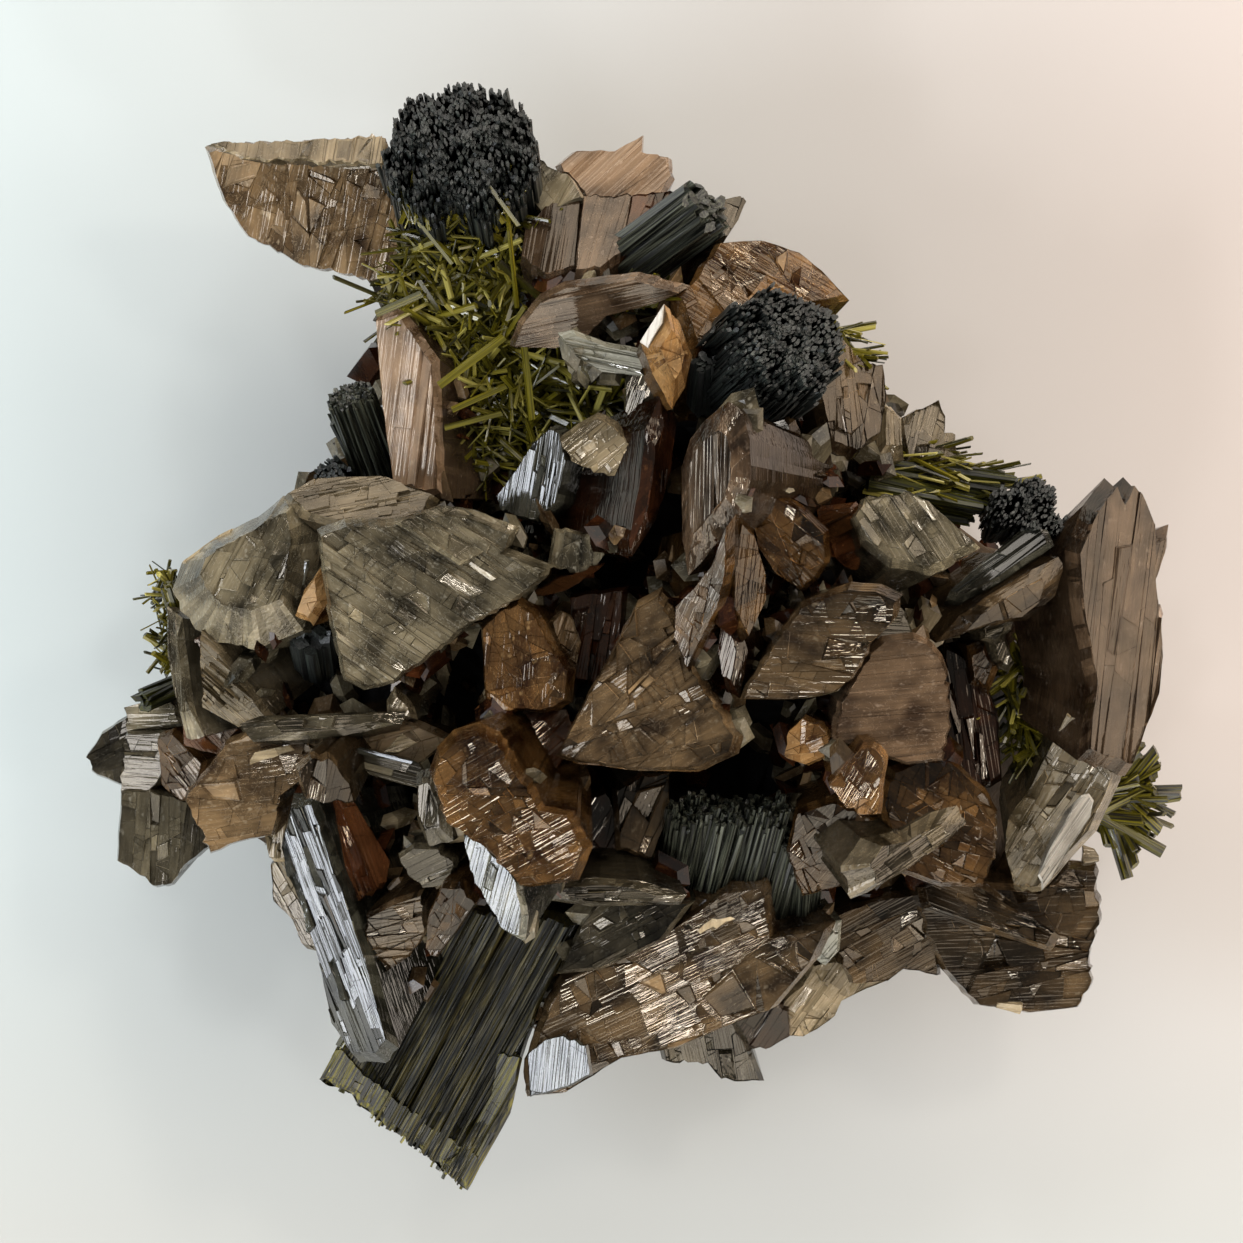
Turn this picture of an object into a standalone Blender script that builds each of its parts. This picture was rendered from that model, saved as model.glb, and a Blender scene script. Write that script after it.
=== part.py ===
"""An axinite and epidote specimen, about 112 x 111 mm in plan and 57 mm tall.

Brown axe-head blades of axinite have grown through each other into one mass, which is cut off flat
where it broke from its pocket. Dark green epidote columns, fibrous knobs and needles sit among them,
each in a pocket of its own form. Plan places are in millimetres on the specimen seen from above, x to
the right and y down the view, and heights are millimetres over the cut.
"""

import collections
import math
import random

import bmesh
import bpy
from mathutils import Matrix, Vector
from mathutils.bvhtree import BVHTree

MM = 0.001
PLAN_CENTRE = (64.34, 64.14)
CORE = (63.0, 66.0)
ROOT_PULL = 0.16
FOOT_SCALE = 0.6
SEAT_GAP = 0.35
SPECIMEN_HEIGHT = 57.0
BLADE_TOP = 0.74

ROOT_WAIST = [
    (34, 23), (45, 19), (58, 19), (70, 24), (80, 36), (92, 50), (108, 60), (109, 76), (102, 90),
    (86, 94), (76, 98), (60, 102), (46, 108), (36, 98), (30, 85), (16, 82), (15, 74), (20, 62),
    (32, 54), (40, 42), (43, 34),
]
ROOT_LEVELS = [(0.56, -3.0), (0.98, 14.0), (0.72, 30.0)]

FLANK_COUNT = 26
FLANK_SEED = 7
FLANK_LENGTH = (13.0, 21.0)
FLANK_WIDTH = (7.0, 12.0)
FLANK_THICK = (2.2, 3.8)
FLANK_HEIGHTS = (4.0, 20.0)
FLANK_SUNK = 2.5
GOLDEN_ANGLE = math.radians(137.5)

NEEDLE_SEED = 11
MAT_NEEDLES = 24
SPRAY_NEEDLES = 12

# A blade's main face passes its crest at a height and falls at a dip toward a heading. Headings turn
# from the right of the view toward its top. The outline is the knife edge, seen from above.
Blade = collections.namedtuple("Blade", "name height fall thick crest top outline")
Column = collections.namedtuple("Column", "start end width thick sides")

AXINITE = [
    # Back and upper left
    Blade("wing_back_left", 24, (13, 225), (1.8, 3.4), (32, 19), 0.74, [
        (20.3, 14.5), (25.2, 14.1), (38.5, 13.7), (40.6, 21), (40.4, 29.2), (36.6, 27.8), (29.8, 26.3),
        (24.6, 23.5), (22.1, 19.8)]),
    Blade("column_left_pale", 35, (34, 180), (1.2, 9), (42.6, 40), 0.6, [
        (37.8, 31.2), (40.2, 30.5), (44, 36), (44.6, 49.8), (39.8, 49.8), (38.6, 41)]),
    Blade("tan_top", 25, (16, 80), (1.2, 5), (62, 17.4), 0.66, [
        (55.5, 16.5), (57.2, 15.1), (61.4, 15.1), (64.4, 13.4), (64.3, 15.2), (67.2, 15.8), (67.5, 17.8),
        (66.2, 19.8), (59, 21)]),
    Blade("slope_left_of_fan", 31, (25, 120), (1.2, 8), (55.6, 19), 0.6, [
        (53.5, 15.8), (57, 17.6), (58.6, 20.2), (54.5, 21.8), (52.6, 20)]),
    Blade("fan_dark", 34, (34, 95), (1.2, 9), (54.6, 24.6), 0.62, [
        (52, 26.4), (52.4, 23.4), (54.5, 21), (58.4, 19.8), (57.8, 27.6), (54.6, 28.4)]),
    Blade("fan_pale", 36, (38, 92), (1.2, 9), (60.4, 24.6), 0.62, [
        (58.2, 19.8), (63.4, 19.8), (62.2, 26.2), (60, 27.8), (57.4, 28)]),
    Blade("fan_right", 34, (34, 75), (1.2, 8), (64, 22.6), 0.6, [
        (63, 19.9), (69.2, 19.4), (66.5, 22.8), (64, 25), (61.8, 26.8)]),
    Blade("arch_blade", 43, (30, 252), (1.3, 9), (59, 29.6), 0.62, [
        (51, 34.6), (51.8, 32.2), (54, 29.5), (56.5, 28.2), (64, 27.3), (69, 28.7), (66.5, 29.8),
        (61, 31.2), (59, 33.4), (55.5, 34.7)]),
    Blade("amber_back", 41, (20, 55), (1.6, 11), (74.6, 28.8), 0.66, [
        (67, 30), (69, 28.4), (71.5, 24.5), (76, 24.2), (80, 25.5), (82.5, 27.5), (84.9, 30.1),
        (80, 31.2), (76.5, 32), (72, 35.8), (69.4, 36)]),
    Blade("blade_by_column", 38, (30, 40), (0.8, 15), (72.8, 21.4), 0.55, [
        (71.6, 20.2), (73.8, 19.7), (74.4, 20.4), (73.6, 22.4), (72.4, 24.2), (71, 24)]),
    Blade("golden_crystal", 51, (12, 320), (3.2, 12), (66.8, 34.6), 0.34, [
        (66.4, 30.6), (67.8, 32.2), (69.2, 35.7), (68.5, 38.8), (67.2, 41), (65.5, 38), (64, 34.4)]),
    Blade("golden_crystal_foot", 45, (20, 250), (1.2, 9), (64.9, 39.4), 0.55, [
        (64.2, 35.6), (66.6, 38.4), (67.4, 41), (66.2, 44), (63.8, 43.6), (62.4, 41), (62.5, 38)]),
    Blade("silver_blade", 47.5, (24, 285), (1.1, 7), (60.6, 35.4), 0.62, [
        (55.8, 33.4), (57.3, 33.1), (60.5, 34.3), (64.2, 35), (64.6, 37.4), (60, 37), (57.3, 35.4)]),
    # Back and upper right
    Blade("block_right_top", 38, (36, 35), (1.5, 12), (84.6, 40), 0.66, [
        (83.5, 34), (86, 36.8), (87.8, 36.7), (88.2, 40), (87.6, 44), (85, 46), (82.3, 45), (81, 40)]),
    Blade("fin_right_back", 33, (34, 30), (1, 8), (88.8, 43), 0.5, [
        (87.8, 39.6), (90.2, 41.8), (90.4, 46), (87.6, 46)]),
    Blade("tan_right_back", 30, (22, 50), (1.2, 8), (92.2, 43.4), 0.62, [
        (89.8, 41.9), (93.8, 40), (94.5, 41.8), (94.4, 43.6), (95.6, 43.8), (95.7, 46.4), (90.4, 46.4)]),
    Blade("amber_behind_silver", 42, (28, 200), (1.4, 10), (78.6, 45.4), 0.6, [
        (75.4, 42.6), (79, 41.4), (81.2, 45), (82.7, 47.6), (80, 49), (77, 49), (75.2, 46)]),
    Blade("silver_facet", 45, (13, 95), (2.4, 10), (91, 53.6), 0.6, [
        (85, 52), (86, 50), (91, 49.4), (93, 50.4), (96.2, 53.4), (97.9, 54.8), (93, 57.6), (88.5, 56.6),
        (86, 54.6)]),
    Blade("silver_facet_side", 42, (26, 220), (1.2, 9), (84.2, 52.6), 0.6, [
        (81.8, 50.6), (85.5, 50.2), (87.6, 54.6), (85.6, 57), (82, 54.6)]),
    Blade("grey_bar_upper", 42, (26, 120), (1.2, 8), (100.4, 56.8), 0.56, [
        (94.6, 59.8), (98.5, 56.4), (102.2, 53.3), (104.6, 53), (105.3, 54.6), (100, 58.2), (96.2, 60.2)]),
    Blade("grey_bar_lower", 42, (30, 305), (1.2, 8), (100.4, 60), 0.5, [
        (93.5, 64.3), (95.8, 61.6), (98.5, 59.7), (103, 57), (105.7, 55.7), (106.2, 57), (105.4, 59.6),
        (102.6, 62), (98.4, 62.6)]),
    Blade("bone_upper", 40, (20, 240), (0.9, 8), (99.6, 62.6), 0.5, [
        (97.8, 62.6), (100, 60.8), (101.4, 61.6), (101, 63), (99.4, 64.6), (98, 64)]),
    Blade("bone_lower", 38, (20, 330), (0.9, 8), (100, 65.2), 0.5, [
        (98.8, 63.6), (100.2, 63.4), (101.4, 66.2), (100.8, 67.2), (99.2, 66)]),
    Blade("amber_leaf", 37, (18, 250), (1, 9), (98.2, 66.4), 0.5, [
        (96.6, 64.6), (98.5, 63.8), (100, 66.4), (98.8, 69.6), (97, 68.4)]),
    Blade("maroon_behind_right", 35, (26, 350), (1.2, 12), (96.4, 71.4), 0.6, [
        (94.2, 64.2), (97.8, 66), (99.8, 71), (100.2, 78), (96, 80), (94, 72)]),
    Blade("right_wing_upper", 38, (28, 12), (2, 5), (110.6, 63), 0.7, [
        (106.4, 55), (108.3, 50.5), (110.4, 47.8), (111.3, 49.8), (112.3, 47.7), (113.5, 49.4),
        (114.6, 52), (114.8, 58), (115.7, 66), (115.3, 70), (112.4, 77.6), (107.6, 76), (108.6, 69),
        (107, 61)]),
    Blade("right_wing_lower", 35, (20, 215), (2.2, 6), (106.4, 79), 0.6, [
        (107.4, 70), (112.6, 73), (112, 78), (109.7, 83), (104.2, 89.1), (101.5, 89), (100.6, 85),
        (101, 81.5), (103.5, 78)]),
    Blade("wing_sliver", 29, (34, 10), (1.2, 9), (114.6, 56.4), 0.5, [
        (111.6, 56), (114.4, 53.8), (117, 52.4), (116.8, 54.6), (115.9, 57.4), (114.9, 60), (111.4, 61)]),
    Blade("wing_sliver_low", 27, (34, 0), (1.2, 9), (114, 63), 0.5, [
        (111.4, 63), (116.2, 60.4), (116.5, 61.4), (115.8, 63.6), (114.6, 66), (111.2, 67)]),
    # Centre
    Blade("centre_tall", 54, (38, 188), (1.4, 18), (72.2, 47), 0.5, [
        (72.8, 40.3), (74.2, 41.4), (74.9, 44), (75, 48), (74, 51.5), (71.8, 54.2), (68.8, 57.6),
        (68.2, 54), (68.1, 47), (69, 44), (70.6, 42)]),
    Blade("golden_pair_left", 53, (28, 205), (1.4, 16), (71, 59.6), 0.52, [
        (73.5, 51.5), (71.8, 56), (70, 58.3), (67.8, 60.5), (67.6, 64), (69, 67.4), (70.6, 64),
        (72.4, 60.6), (73.4, 56.5)]),
    Blade("golden_pair_right", 52, (24, 345), (1.4, 15), (74.2, 57.4), 0.52, [
        (73.5, 51.7), (74.9, 53), (76.1, 57), (76.2, 60.2), (74.2, 64.2), (72.7, 61), (72.7, 56)]),
    Blade("dark_tip", 50, (30, 190), (1, 14), (73.2, 65), 0.5, [
        (72.2, 60.8), (73.6, 61.8), (74.7, 65), (73.9, 69.8), (72.6, 69.2), (71.7, 65)]),
    Blade("dark_standing_slab", 48, (44, 355), (0.9, 16), (65.4, 47), 0.5, [
        (66, 39.6), (67.7, 42), (67, 47), (65.6, 52), (63.2, 55.7), (62.9, 54), (64, 48), (64.5, 43)]),
    Blade("amber_mid", 47.5, (22, 245), (2.2, 12), (79.2, 53), 0.56, [
        (75, 50.2), (77.5, 49.1), (80, 50.4), (82.8, 53), (83, 55.6), (81.8, 57.8), (80.2, 59.2),
        (77.4, 57.2), (75.5, 54.4)]),
    Blade("shell_centre", 51, (11, 250), (1.8, 12), (82, 64.4), 0.68, [
        (73.8, 69.9), (76.5, 65.4), (79, 61.6), (80, 60.2), (83, 58.9), (85, 58.2), (88, 58.4),
        (90.2, 59.4), (89.6, 61.6), (87.3, 64), (85.2, 67.8), (83.5, 69.1), (79.6, 69.9)]),
    Blade("rounded_right", 47, (9, 300), (1.8, 22), (89.6, 69.4), 0.7, [
        (83, 74), (83.6, 70), (85.2, 67.2), (86.6, 64.8), (88, 63.6), (91.2, 63.2), (92.6, 63.8),
        (94.1, 65.5), (94.8, 69), (94.8, 73), (94.2, 76), (90.5, 76.4)]),
    Blade("small_golden", 50, (16, 240), (1.4, 10), (85.8, 77.4), 0.6, [
        (82.7, 78.1), (84, 76.4), (86.2, 74.1), (87.9, 74.4), (88.7, 75.6), (88.2, 78.6), (88, 81.3),
        (86.4, 81.4), (84.4, 80.2)]),
    Blade("golden_round", 46, (14, 200), (1.4, 10), (80.8, 74), 0.6, [
        (78.5, 75.6), (79, 72.8), (80.5, 71.4), (82.3, 72.1), (83.3, 73.6), (82.8, 75.6), (80.8, 76.5)]),
    Blade("kite_centre", 48, (14, 205), (1.8, 14), (65.4, 70), 0.7, [
        (55.6, 75.5), (63.8, 60), (66.2, 58.7), (69, 64), (70.6, 68), (74.3, 73.6), (73.8, 75.3),
        (70.5, 76.9), (64, 77), (57.3, 76.1)]),
    Blade("behind_kite", 38, (22, 180), (1.4, 12), (59.8, 63.4), 0.6, [
        (57, 59.4), (62.8, 58.6), (62.4, 64), (60, 69), (57.2, 68)]),
    Blade("silver_fan_centre", 43.5, (30, 190), (1.3, 12), (55.4, 46.8), 0.6, [
        (49.9, 49.8), (52, 47), (53.8, 44), (55.6, 42.5), (56.8, 43), (57.4, 46), (56.4, 50.4),
        (54, 52.4), (50.4, 51.4)]),
    Blade("rounded_tan", 45.5, (16, 250), (1.5, 10), (60, 44.4), 0.62, [
        (55.9, 43.8), (58, 42.3), (59.8, 41.3), (61.3, 42), (62.8, 43.5), (64.7, 44.5), (64.9, 46.4),
        (63, 47.6), (59.5, 47.2), (57, 45.9)]),
    Blade("grey_below_tan", 41, (18, 250), (1.2, 20), (60.6, 49.4), 0.62, [
        (56.8, 46), (64.8, 46.4), (64.2, 51.8), (61, 53), (56, 52.4)]),
    Blade("tan_square", 44, (12, 280), (1.2, 10), (57.8, 54.8), 0.68, [
        (55.4, 52.8), (60.4, 53.4), (60.6, 55.3), (59.8, 56.4), (57.5, 57.2), (54.8, 56.4)]),
    # Left
    Blade("big_axe", 46, (10, 235), (2.4, 11), (42.4, 58.4), 0.72, [
        (31.8, 53), (34.5, 51.9), (39.5, 51.9), (44, 50.7), (47.5, 51.1), (51.9, 52.8), (50.8, 54.8),
        (55.7, 56.6), (52, 59.9), (47, 62.6), (43, 65.6), (39.5, 68.3), (36.5, 69), (34.4, 68),
        (33.4, 64), (32.4, 58)]),
    Blade("axe_upper_plate", 48.4, (14, 60), (1, 8), (45.6, 53.2), 0.66, [
        (39.6, 52.4), (44, 50.6), (47.5, 51), (52, 52.8), (50.2, 55), (46, 56.6)]),
    Blade("crest_behind_axe", 40, (32, 100), (1.2, 9), (36.4, 50.6), 0.6, [
        (28.4, 49.8), (31.5, 48.2), (38.2, 48), (44, 50), (43, 52), (39.5, 53), (34, 53), (30, 51.8)]),
    Blade("left_dome", 37, (20, 155), (3.6, 8), (27.4, 56.6), 0.5, [
        (17.2, 59), (18.2, 56.2), (20.5, 54.5), (25.8, 51.7), (28.3, 49.6), (31.4, 48.6), (32.4, 53),
        (31.6, 58), (30.4, 63), (25.5, 65), (20.5, 63.8), (18.4, 61.4)]),
    Blade("golden_wedge", 42, (30, 220), (1.2, 9), (31.2, 59.6), 0.5, [
        (32.6, 56.2), (33, 60), (31.4, 62.6), (29.6, 61.6), (30.5, 59)]),
    Blade("left_fin_long", 31, (44, 182), (0.9, 8), (18.4, 67), 0.5, [
        (16.7, 60.6), (18.2, 61.8), (19.4, 70.6), (20.4, 73.6), (18.6, 73.8), (17.4, 69), (16.6, 64)]),
    Blade("left_fin_triangle", 34, (38, 235), (1, 9), (22.4, 68.4), 0.62, [
        (20.2, 63), (22.2, 64.6), (27.4, 71.6), (24.4, 72.6), (20.4, 70.4)]),
    Blade("behind_fins", 28, (24, 215), (1.4, 9), (21, 70.6), 0.6, [
        (17.8, 62.6), (21, 63), (24.6, 72.6), (22.4, 75.6), (18.6, 74.6)]),
    Blade("far_left_plate", 19, (20, 170), (1, 6), (14.8, 71.4), 0.6, [
        (12.2, 70.8), (17.2, 69.4), (18.4, 72.6), (12.6, 73.4)]),
    Blade("far_left_fan", 15, (16, 190), (1, 4), (11.6, 75.6), 0.55, [
        (8.2, 75.8), (9.2, 74.4), (9.9, 73.2), (12.6, 71.5), (13.6, 75), (12.8, 79), (11.2, 78.4),
        (8.8, 77.2)]),
    Blade("far_left_bars", 20, (22, 200), (1, 6), (14.4, 76), 0.66, [
        (12.1, 76), (12.5, 73.2), (16.4, 73), (16.8, 77), (15, 79.6), (12, 79.3)]),
    Blade("ridged_left", 23, (26, 215), (1.2, 7), (18, 76.6), 0.6, [
        (15.8, 73.4), (17.4, 72.8), (20.6, 76), (20, 79), (18.4, 80.2), (16.2, 78.4)]),
    Blade("left_slab", 32, (13, 235), (1.8, 7), (24.8, 78), 0.72, [
        (18.4, 79.6), (20.5, 77), (22.5, 74), (25, 72.8), (30, 73), (33.4, 75), (31, 77.4), (28.4, 79.4),
        (27.5, 83.5), (24, 84.2), (21, 85.4), (19.4, 82)]),
    Blade("left_slab_arm", 34, (18, 280), (1.2, 9), (36, 73.8), 0.6, [
        (29.8, 73), (40.5, 71.4), (45.6, 73.6), (42, 76.4), (38, 76.2), (31, 76.8)]),
    Blade("left_thin_bar", 37.4, (20, 95), (0.8, 5), (32.6, 72.6), 0.5, [
        (24, 72.4), (26, 71.6), (33, 71.3), (40.6, 71.1), (40.2, 72.4), (33, 73.8), (25.4, 74.2)]),
    Blade("lower_left_block", 19, (17, 235), (1.6, 5), (16, 82.8), 0.7, [
        (11.8, 79), (15, 78.4), (17.5, 79.2), (19.8, 80), (20.8, 83), (21.2, 84.6), (18.6, 86.6),
        (17.2, 88.6), (15.5, 88.9), (12.9, 87), (11.4, 86.2)]),
    Blade("tip_in_hollow", 36, (20, 260), (0.9, 9), (40, 70.4), 0.5, [
        (38.7, 70), (39.5, 68.6), (41, 70), (41.8, 72), (38.8, 72)]),
    Blade("brown_shell", 42.5, (16, 262), (2.4, 12), (52.6, 64.6), 0.56, [
        (48.1, 62.4), (50, 60.4), (52, 59.6), (53.7, 60.5), (56, 65), (57.6, 67), (57.3, 70.2),
        (56, 71), (50.5, 71.4), (48.6, 70)]),
    Blade("brown_shell_side", 40, (24, 20), (1, 10), (56.4, 63.8), 0.55, [
        (54.8, 62.2), (56, 61), (57, 61.8), (57.9, 64.5), (57.4, 66.8), (55.8, 66)]),
    Blade("maroon_by_amber", 40, (20, 30), (1.2, 11), (53.4, 73.8), 0.6, [
        (50, 71.4), (56.6, 70.8), (57.6, 74), (54.4, 79), (51.6, 75)]),
    # Lower left
    Blade("amber_big", 50, (13, 245), (2.8, 14), (50.4, 80), 0.62, [
        (43, 77), (43.8, 74.6), (45.5, 72.9), (48, 72.1), (50.1, 73.1), (54.6, 80.5), (57.6, 80.9),
        (59.3, 84.5), (57.9, 87.9), (52.5, 88.6), (49, 84.7), (44.5, 81.7)]),
    Blade("green_grey_edge", 44, (30, 190), (0.9, 9), (43, 80.4), 0.5, [
        (41.7, 77.2), (43.4, 76.6), (45, 80), (45.4, 84), (43, 84.6), (41.8, 82)]),
    Blade("silver_blade_low", 49, (30, 225), (1.1, 9), (49.8, 87.4), 0.6, [
        (46.6, 82.9), (48, 83), (50.5, 85.6), (52.3, 88), (52.9, 91.5), (52.6, 93.9), (51, 93.2),
        (49.1, 90), (47.3, 86.5)]),
    Blade("small_upper_left", 42, (22, 240), (1.2, 16), (43, 86), 0.55, [
        (39.9, 85.3), (41.5, 84.2), (44.2, 84.2), (46, 86), (45.4, 88.2), (42.5, 88.6), (40.8, 87.2)]),
    Blade("olive_gold", 43, (26, 235), (1.2, 9), (45, 91.4), 0.55, [
        (42.7, 94.6), (43, 91), (44.5, 87.9), (46.6, 87.9), (48.2, 89.6), (46, 92.8), (43.8, 95.6)]),
    Blade("mauve_banded", 37, (22, 250), (1.2, 10), (39.8, 92.4), 0.62, [
        (36.6, 91.4), (39.5, 89.8), (42.5, 88.8), (42.8, 93), (41, 95.6), (38, 97.6), (36.6, 96)]),
    Blade("reddish_slab", 35, (28, 20), (1.1, 10), (36, 84.6), 0.6, [
        (32.6, 79.6), (34.6, 79.6), (37.2, 84), (38.7, 86.6), (38.3, 88.8), (35.5, 90.6), (34, 87)]),
    Blade("mauve_block", 40, (22, 280), (1.1, 9), (32.6, 77.6), 0.6, [
        (29.5, 76.6), (31, 75.2), (33.2, 75.4), (35.1, 78), (35.6, 80), (33.2, 80), (30.4, 79.6)]),
    Blade("silver_bar_left", 36, (26, 205), (1.6, 8), (33.8, 92), 0.62, [
        (28.3, 83.6), (29.4, 79.3), (31.6, 79), (33.6, 84.5), (35.7, 90.5), (37.4, 95.5), (39.9, 104.8),
        (38.6, 106.3), (36, 106.3), (33.8, 103), (32.4, 96), (30.6, 90), (28.8, 86)]),
    Blade("rim_left_low", 24, (26, 200), (1, 8), (29.4, 88.4), 0.55, [
        (27.1, 86.2), (28.6, 85), (30.6, 87), (32.6, 92), (33, 95.6), (30.6, 95), (29.6, 92.4),
        (27.4, 90.2)]),
    Blade("pale_edge_left", 27, (26, 190), (0.9, 8), (28.2, 82), 0.55, [
        (26.6, 83.4), (27, 79.8), (28.8, 78.8), (30.2, 83), (29.2, 86.4), (27.3, 86.2)]),
    # Bottom
    Blade("big_bottom_slab", 31, (16, 250), (2.2, 9), (67.6, 97.6), 0.74, [
        (52.7, 109.8), (52.4, 106), (54.5, 100), (56, 97.5), (64, 94.4), (70, 90.4), (73, 88.1),
        (76.8, 87.7), (77.8, 93), (83.6, 92.1), (82, 95.6), (77.8, 100.6), (73, 102.4), (68, 104.6),
        (62, 105.8), (56, 109.5)]),
    Blade("dark_bar", 41, (30, 280), (0.9, 8), (61, 89), 0.5, [
        (52.6, 88.3), (56, 87.8), (60, 87.7), (64, 88), (68.7, 89.4), (68, 90.4), (59, 90.6),
        (54.5, 89.9)]),
    Blade("olive_behind_slab", 34, (26, 255), (1.2, 9), (62.6, 93), 0.6, [
        (55.6, 97.4), (58.2, 92), (60, 90), (69.6, 90), (66.4, 94), (60, 97)]),
    Blade("fringe_low", 21, (24, 265), (1, 7), (71.4, 103.8), 0.62, [
        (65.8, 104.4), (70.4, 101.2), (72.6, 100.8), (74.7, 104), (76.5, 108.3), (72.3, 108.1),
        (70.8, 106.3), (66.2, 106.1)]),
    Blade("red_brown_triangle", 20, (24, 285), (1, 7), (76, 102.2), 0.6, [
        (72.6, 101.6), (77, 99.6), (79, 100.8), (79.2, 103.6), (76.6, 105), (74.2, 104.6)]),
    Blade("serrated_tan", 19, (20, 300), (1.2, 6), (82.4, 99.2), 0.66, [
        (77.2, 103), (78, 100), (80, 98.2), (81.2, 96.2), (84, 95.6), (87.2, 96), (89.6, 97.5),
        (87, 98.6), (84.2, 100), (83.5, 101.6), (81.5, 103.1), (80, 103.9), (77.5, 103.8)]),
    Blade("bright_leaf", 31, (34, 300), (0.8, 8), (82.8, 94), 0.5, [
        (81.4, 95.8), (82, 93.4), (83.2, 91.8), (84.2, 92), (84, 95), (82.6, 96.6)]),
    Blade("mauve_back_low", 23, (18, 285), (1.4, 8), (88.4, 93.4), 0.66, [
        (83.4, 91), (87, 89.6), (92, 88.8), (94, 92), (94.2, 97.6), (90.5, 96.9), (88.8, 98.2),
        (85, 98.4), (83.4, 95)]),
    Blade("low_grey", 38, (24, 330), (1.2, 10), (64, 81), 0.6, [
        (61.2, 78.8), (64, 77), (66.9, 77), (67, 81), (65, 86), (61.6, 85)]),
    Blade("low_maroon", 36, (24, 300), (1.2, 10), (60.4, 84), 0.6, [
        (56.8, 80), (60.4, 78.6), (63, 83), (65.4, 88), (60, 89), (58, 85)]),
    # Lower right
    Blade("amber_skirt", 41, (26, 325), (1.6, 12), (93, 81.4), 0.64, [
        (87.6, 80), (88.8, 76.6), (91.5, 75.4), (95, 75.6), (98.5, 78.8), (99.7, 81), (99.5, 85),
        (98.3, 88.6), (94, 88.6), (89.8, 87.2)]),
    Blade("amber_low_mid", 39, (22, 240), (1.4, 11), (84, 83.6), 0.6, [
        (79.6, 80.6), (83.5, 79.4), (88.4, 81.6), (90.2, 83), (87, 85.4), (84, 88.6), (80.2, 89.6),
        (78.6, 85)]),
    Blade("olive_gold_beam", 43, (24, 325), (1.6, 9), (90, 84.9), 0.5, [
        (84, 86.5), (85, 89.8), (86.6, 89.2), (90.5, 87), (94, 84.6), (97.3, 81.8), (95.8, 80.2),
        (93, 81.2), (90, 83), (86, 83.7)]),
    Blade("lower_right_slab", 22, (14, 305), (2, 6), (101.6, 93.6), 0.74, [
        (91.4, 90), (92.6, 88.4), (98.5, 88.2), (104, 88.8), (107, 86.1), (109.8, 86.4), (110.4, 91.5),
        (109.2, 95.8), (109.6, 98), (108, 100.9), (103, 101.5), (97.5, 100.6), (94.2, 97), (92, 93)]),
    Blade("grey_stripe_low_right", 26, (26, 55), (1, 7), (98.6, 90.6), 0.56, [
        (91.8, 88.8), (94.6, 87.8), (98.6, 88.4), (106.2, 93.8), (105.2, 95.2), (98, 93), (92.4, 91)]),
]

MAT_MOUND = Blade("mat_mound", 31.5, (10, 200), (2, 9), (49, 33), 0.7, [
    (41.2, 24.6), (45.6, 22.6), (51.6, 22), (52, 27.6), (51.4, 32), (55, 36), (61.2, 38.6), (60, 41),
    (52, 43.4), (50, 46.6), (45.4, 46.6), (45, 40), (41.6, 32.6), (37.6, 30.2)])
SPRAY_MOUND = Blade("spray_mound", 17, (22, 330), (2.4, 6), (111.6, 79.8), 0.55, [
    (108.4, 79), (110.6, 76.4), (113.4, 76.2), (115, 79), (114, 82.4), (111, 84), (108.6, 83)])
HOLLOW_MOUND = Blade("hollow_mound", 27, (16, 250), (1.8, 8), (103.2, 70.6), 0.6, [
    (99.8, 68.4), (104, 64), (106.6, 66.8), (106.4, 72.6), (103.4, 77), (100.6, 74)])

# Needles of note: where each starts and ends, in millimetres, and its thickness.
MAT_LONG_NEEDLES = [
    ((45.2, 26.5, 33), (41.0, 22.4, 36.5), 0.9), ((41.8, 29.2, 32), (35.9, 31.2, 31), 0.9),
    ((54.6, 30.4, 34), (50.0, 26.2, 38.5), 1.3), ((44.4, 38.8, 34), (50.2, 33.4, 38), 0.9),
    ((44.4, 42.8, 33), (50.0, 40.2, 38), 1.0), ((45.2, 45.6, 32), (50.2, 42.4, 37.5), 1.0),
    ((50.6, 34.4, 34), (50.0, 28.8, 38.5), 0.8), ((48.2, 29.4, 33), (50.6, 22.4, 37.5), 0.8),
]
SPRAY_LONG_NEEDLES = [
    ((111.2, 79.6, 17), (117.4, 72.4, 24), 1.3), ((112, 79, 17), (118.9, 76.2, 20), 1.1),
    ((112, 79.6, 16), (120.0, 77.2, 16), 1.1), ((112.2, 80.4, 16), (120.5, 81.6, 14), 1.1),
    ((112, 80.4, 17), (118.4, 80.2, 18.5), 1.1), ((111.4, 81, 16), (119.0, 84.0, 12), 0.9),
    ((110.8, 81, 16), (115.4, 84.8, 13), 1.1), ((110.4, 81, 17), (113.2, 86.8, 16), 1.6),
    ((109.8, 81, 17), (111.4, 87.1, 14), 1.4), ((111.2, 79.2, 17), (113.8, 73.6, 21), 1.2),
]
HOLLOW_LONG_NEEDLES = [
    ((102.6, 63.4, 29), (108.6, 67.8, 31), 1.2), ((103.6, 70.4, 28), (100.9, 65.2, 33), 1.1),
    ((102.6, 72.6, 27), (106.4, 70.2, 33), 1.0), ((103, 74, 27), (101, 69.6, 32), 1.0),
    ((103.8, 71.6, 28), (104.6, 66, 33), 1.0),
]

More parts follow.
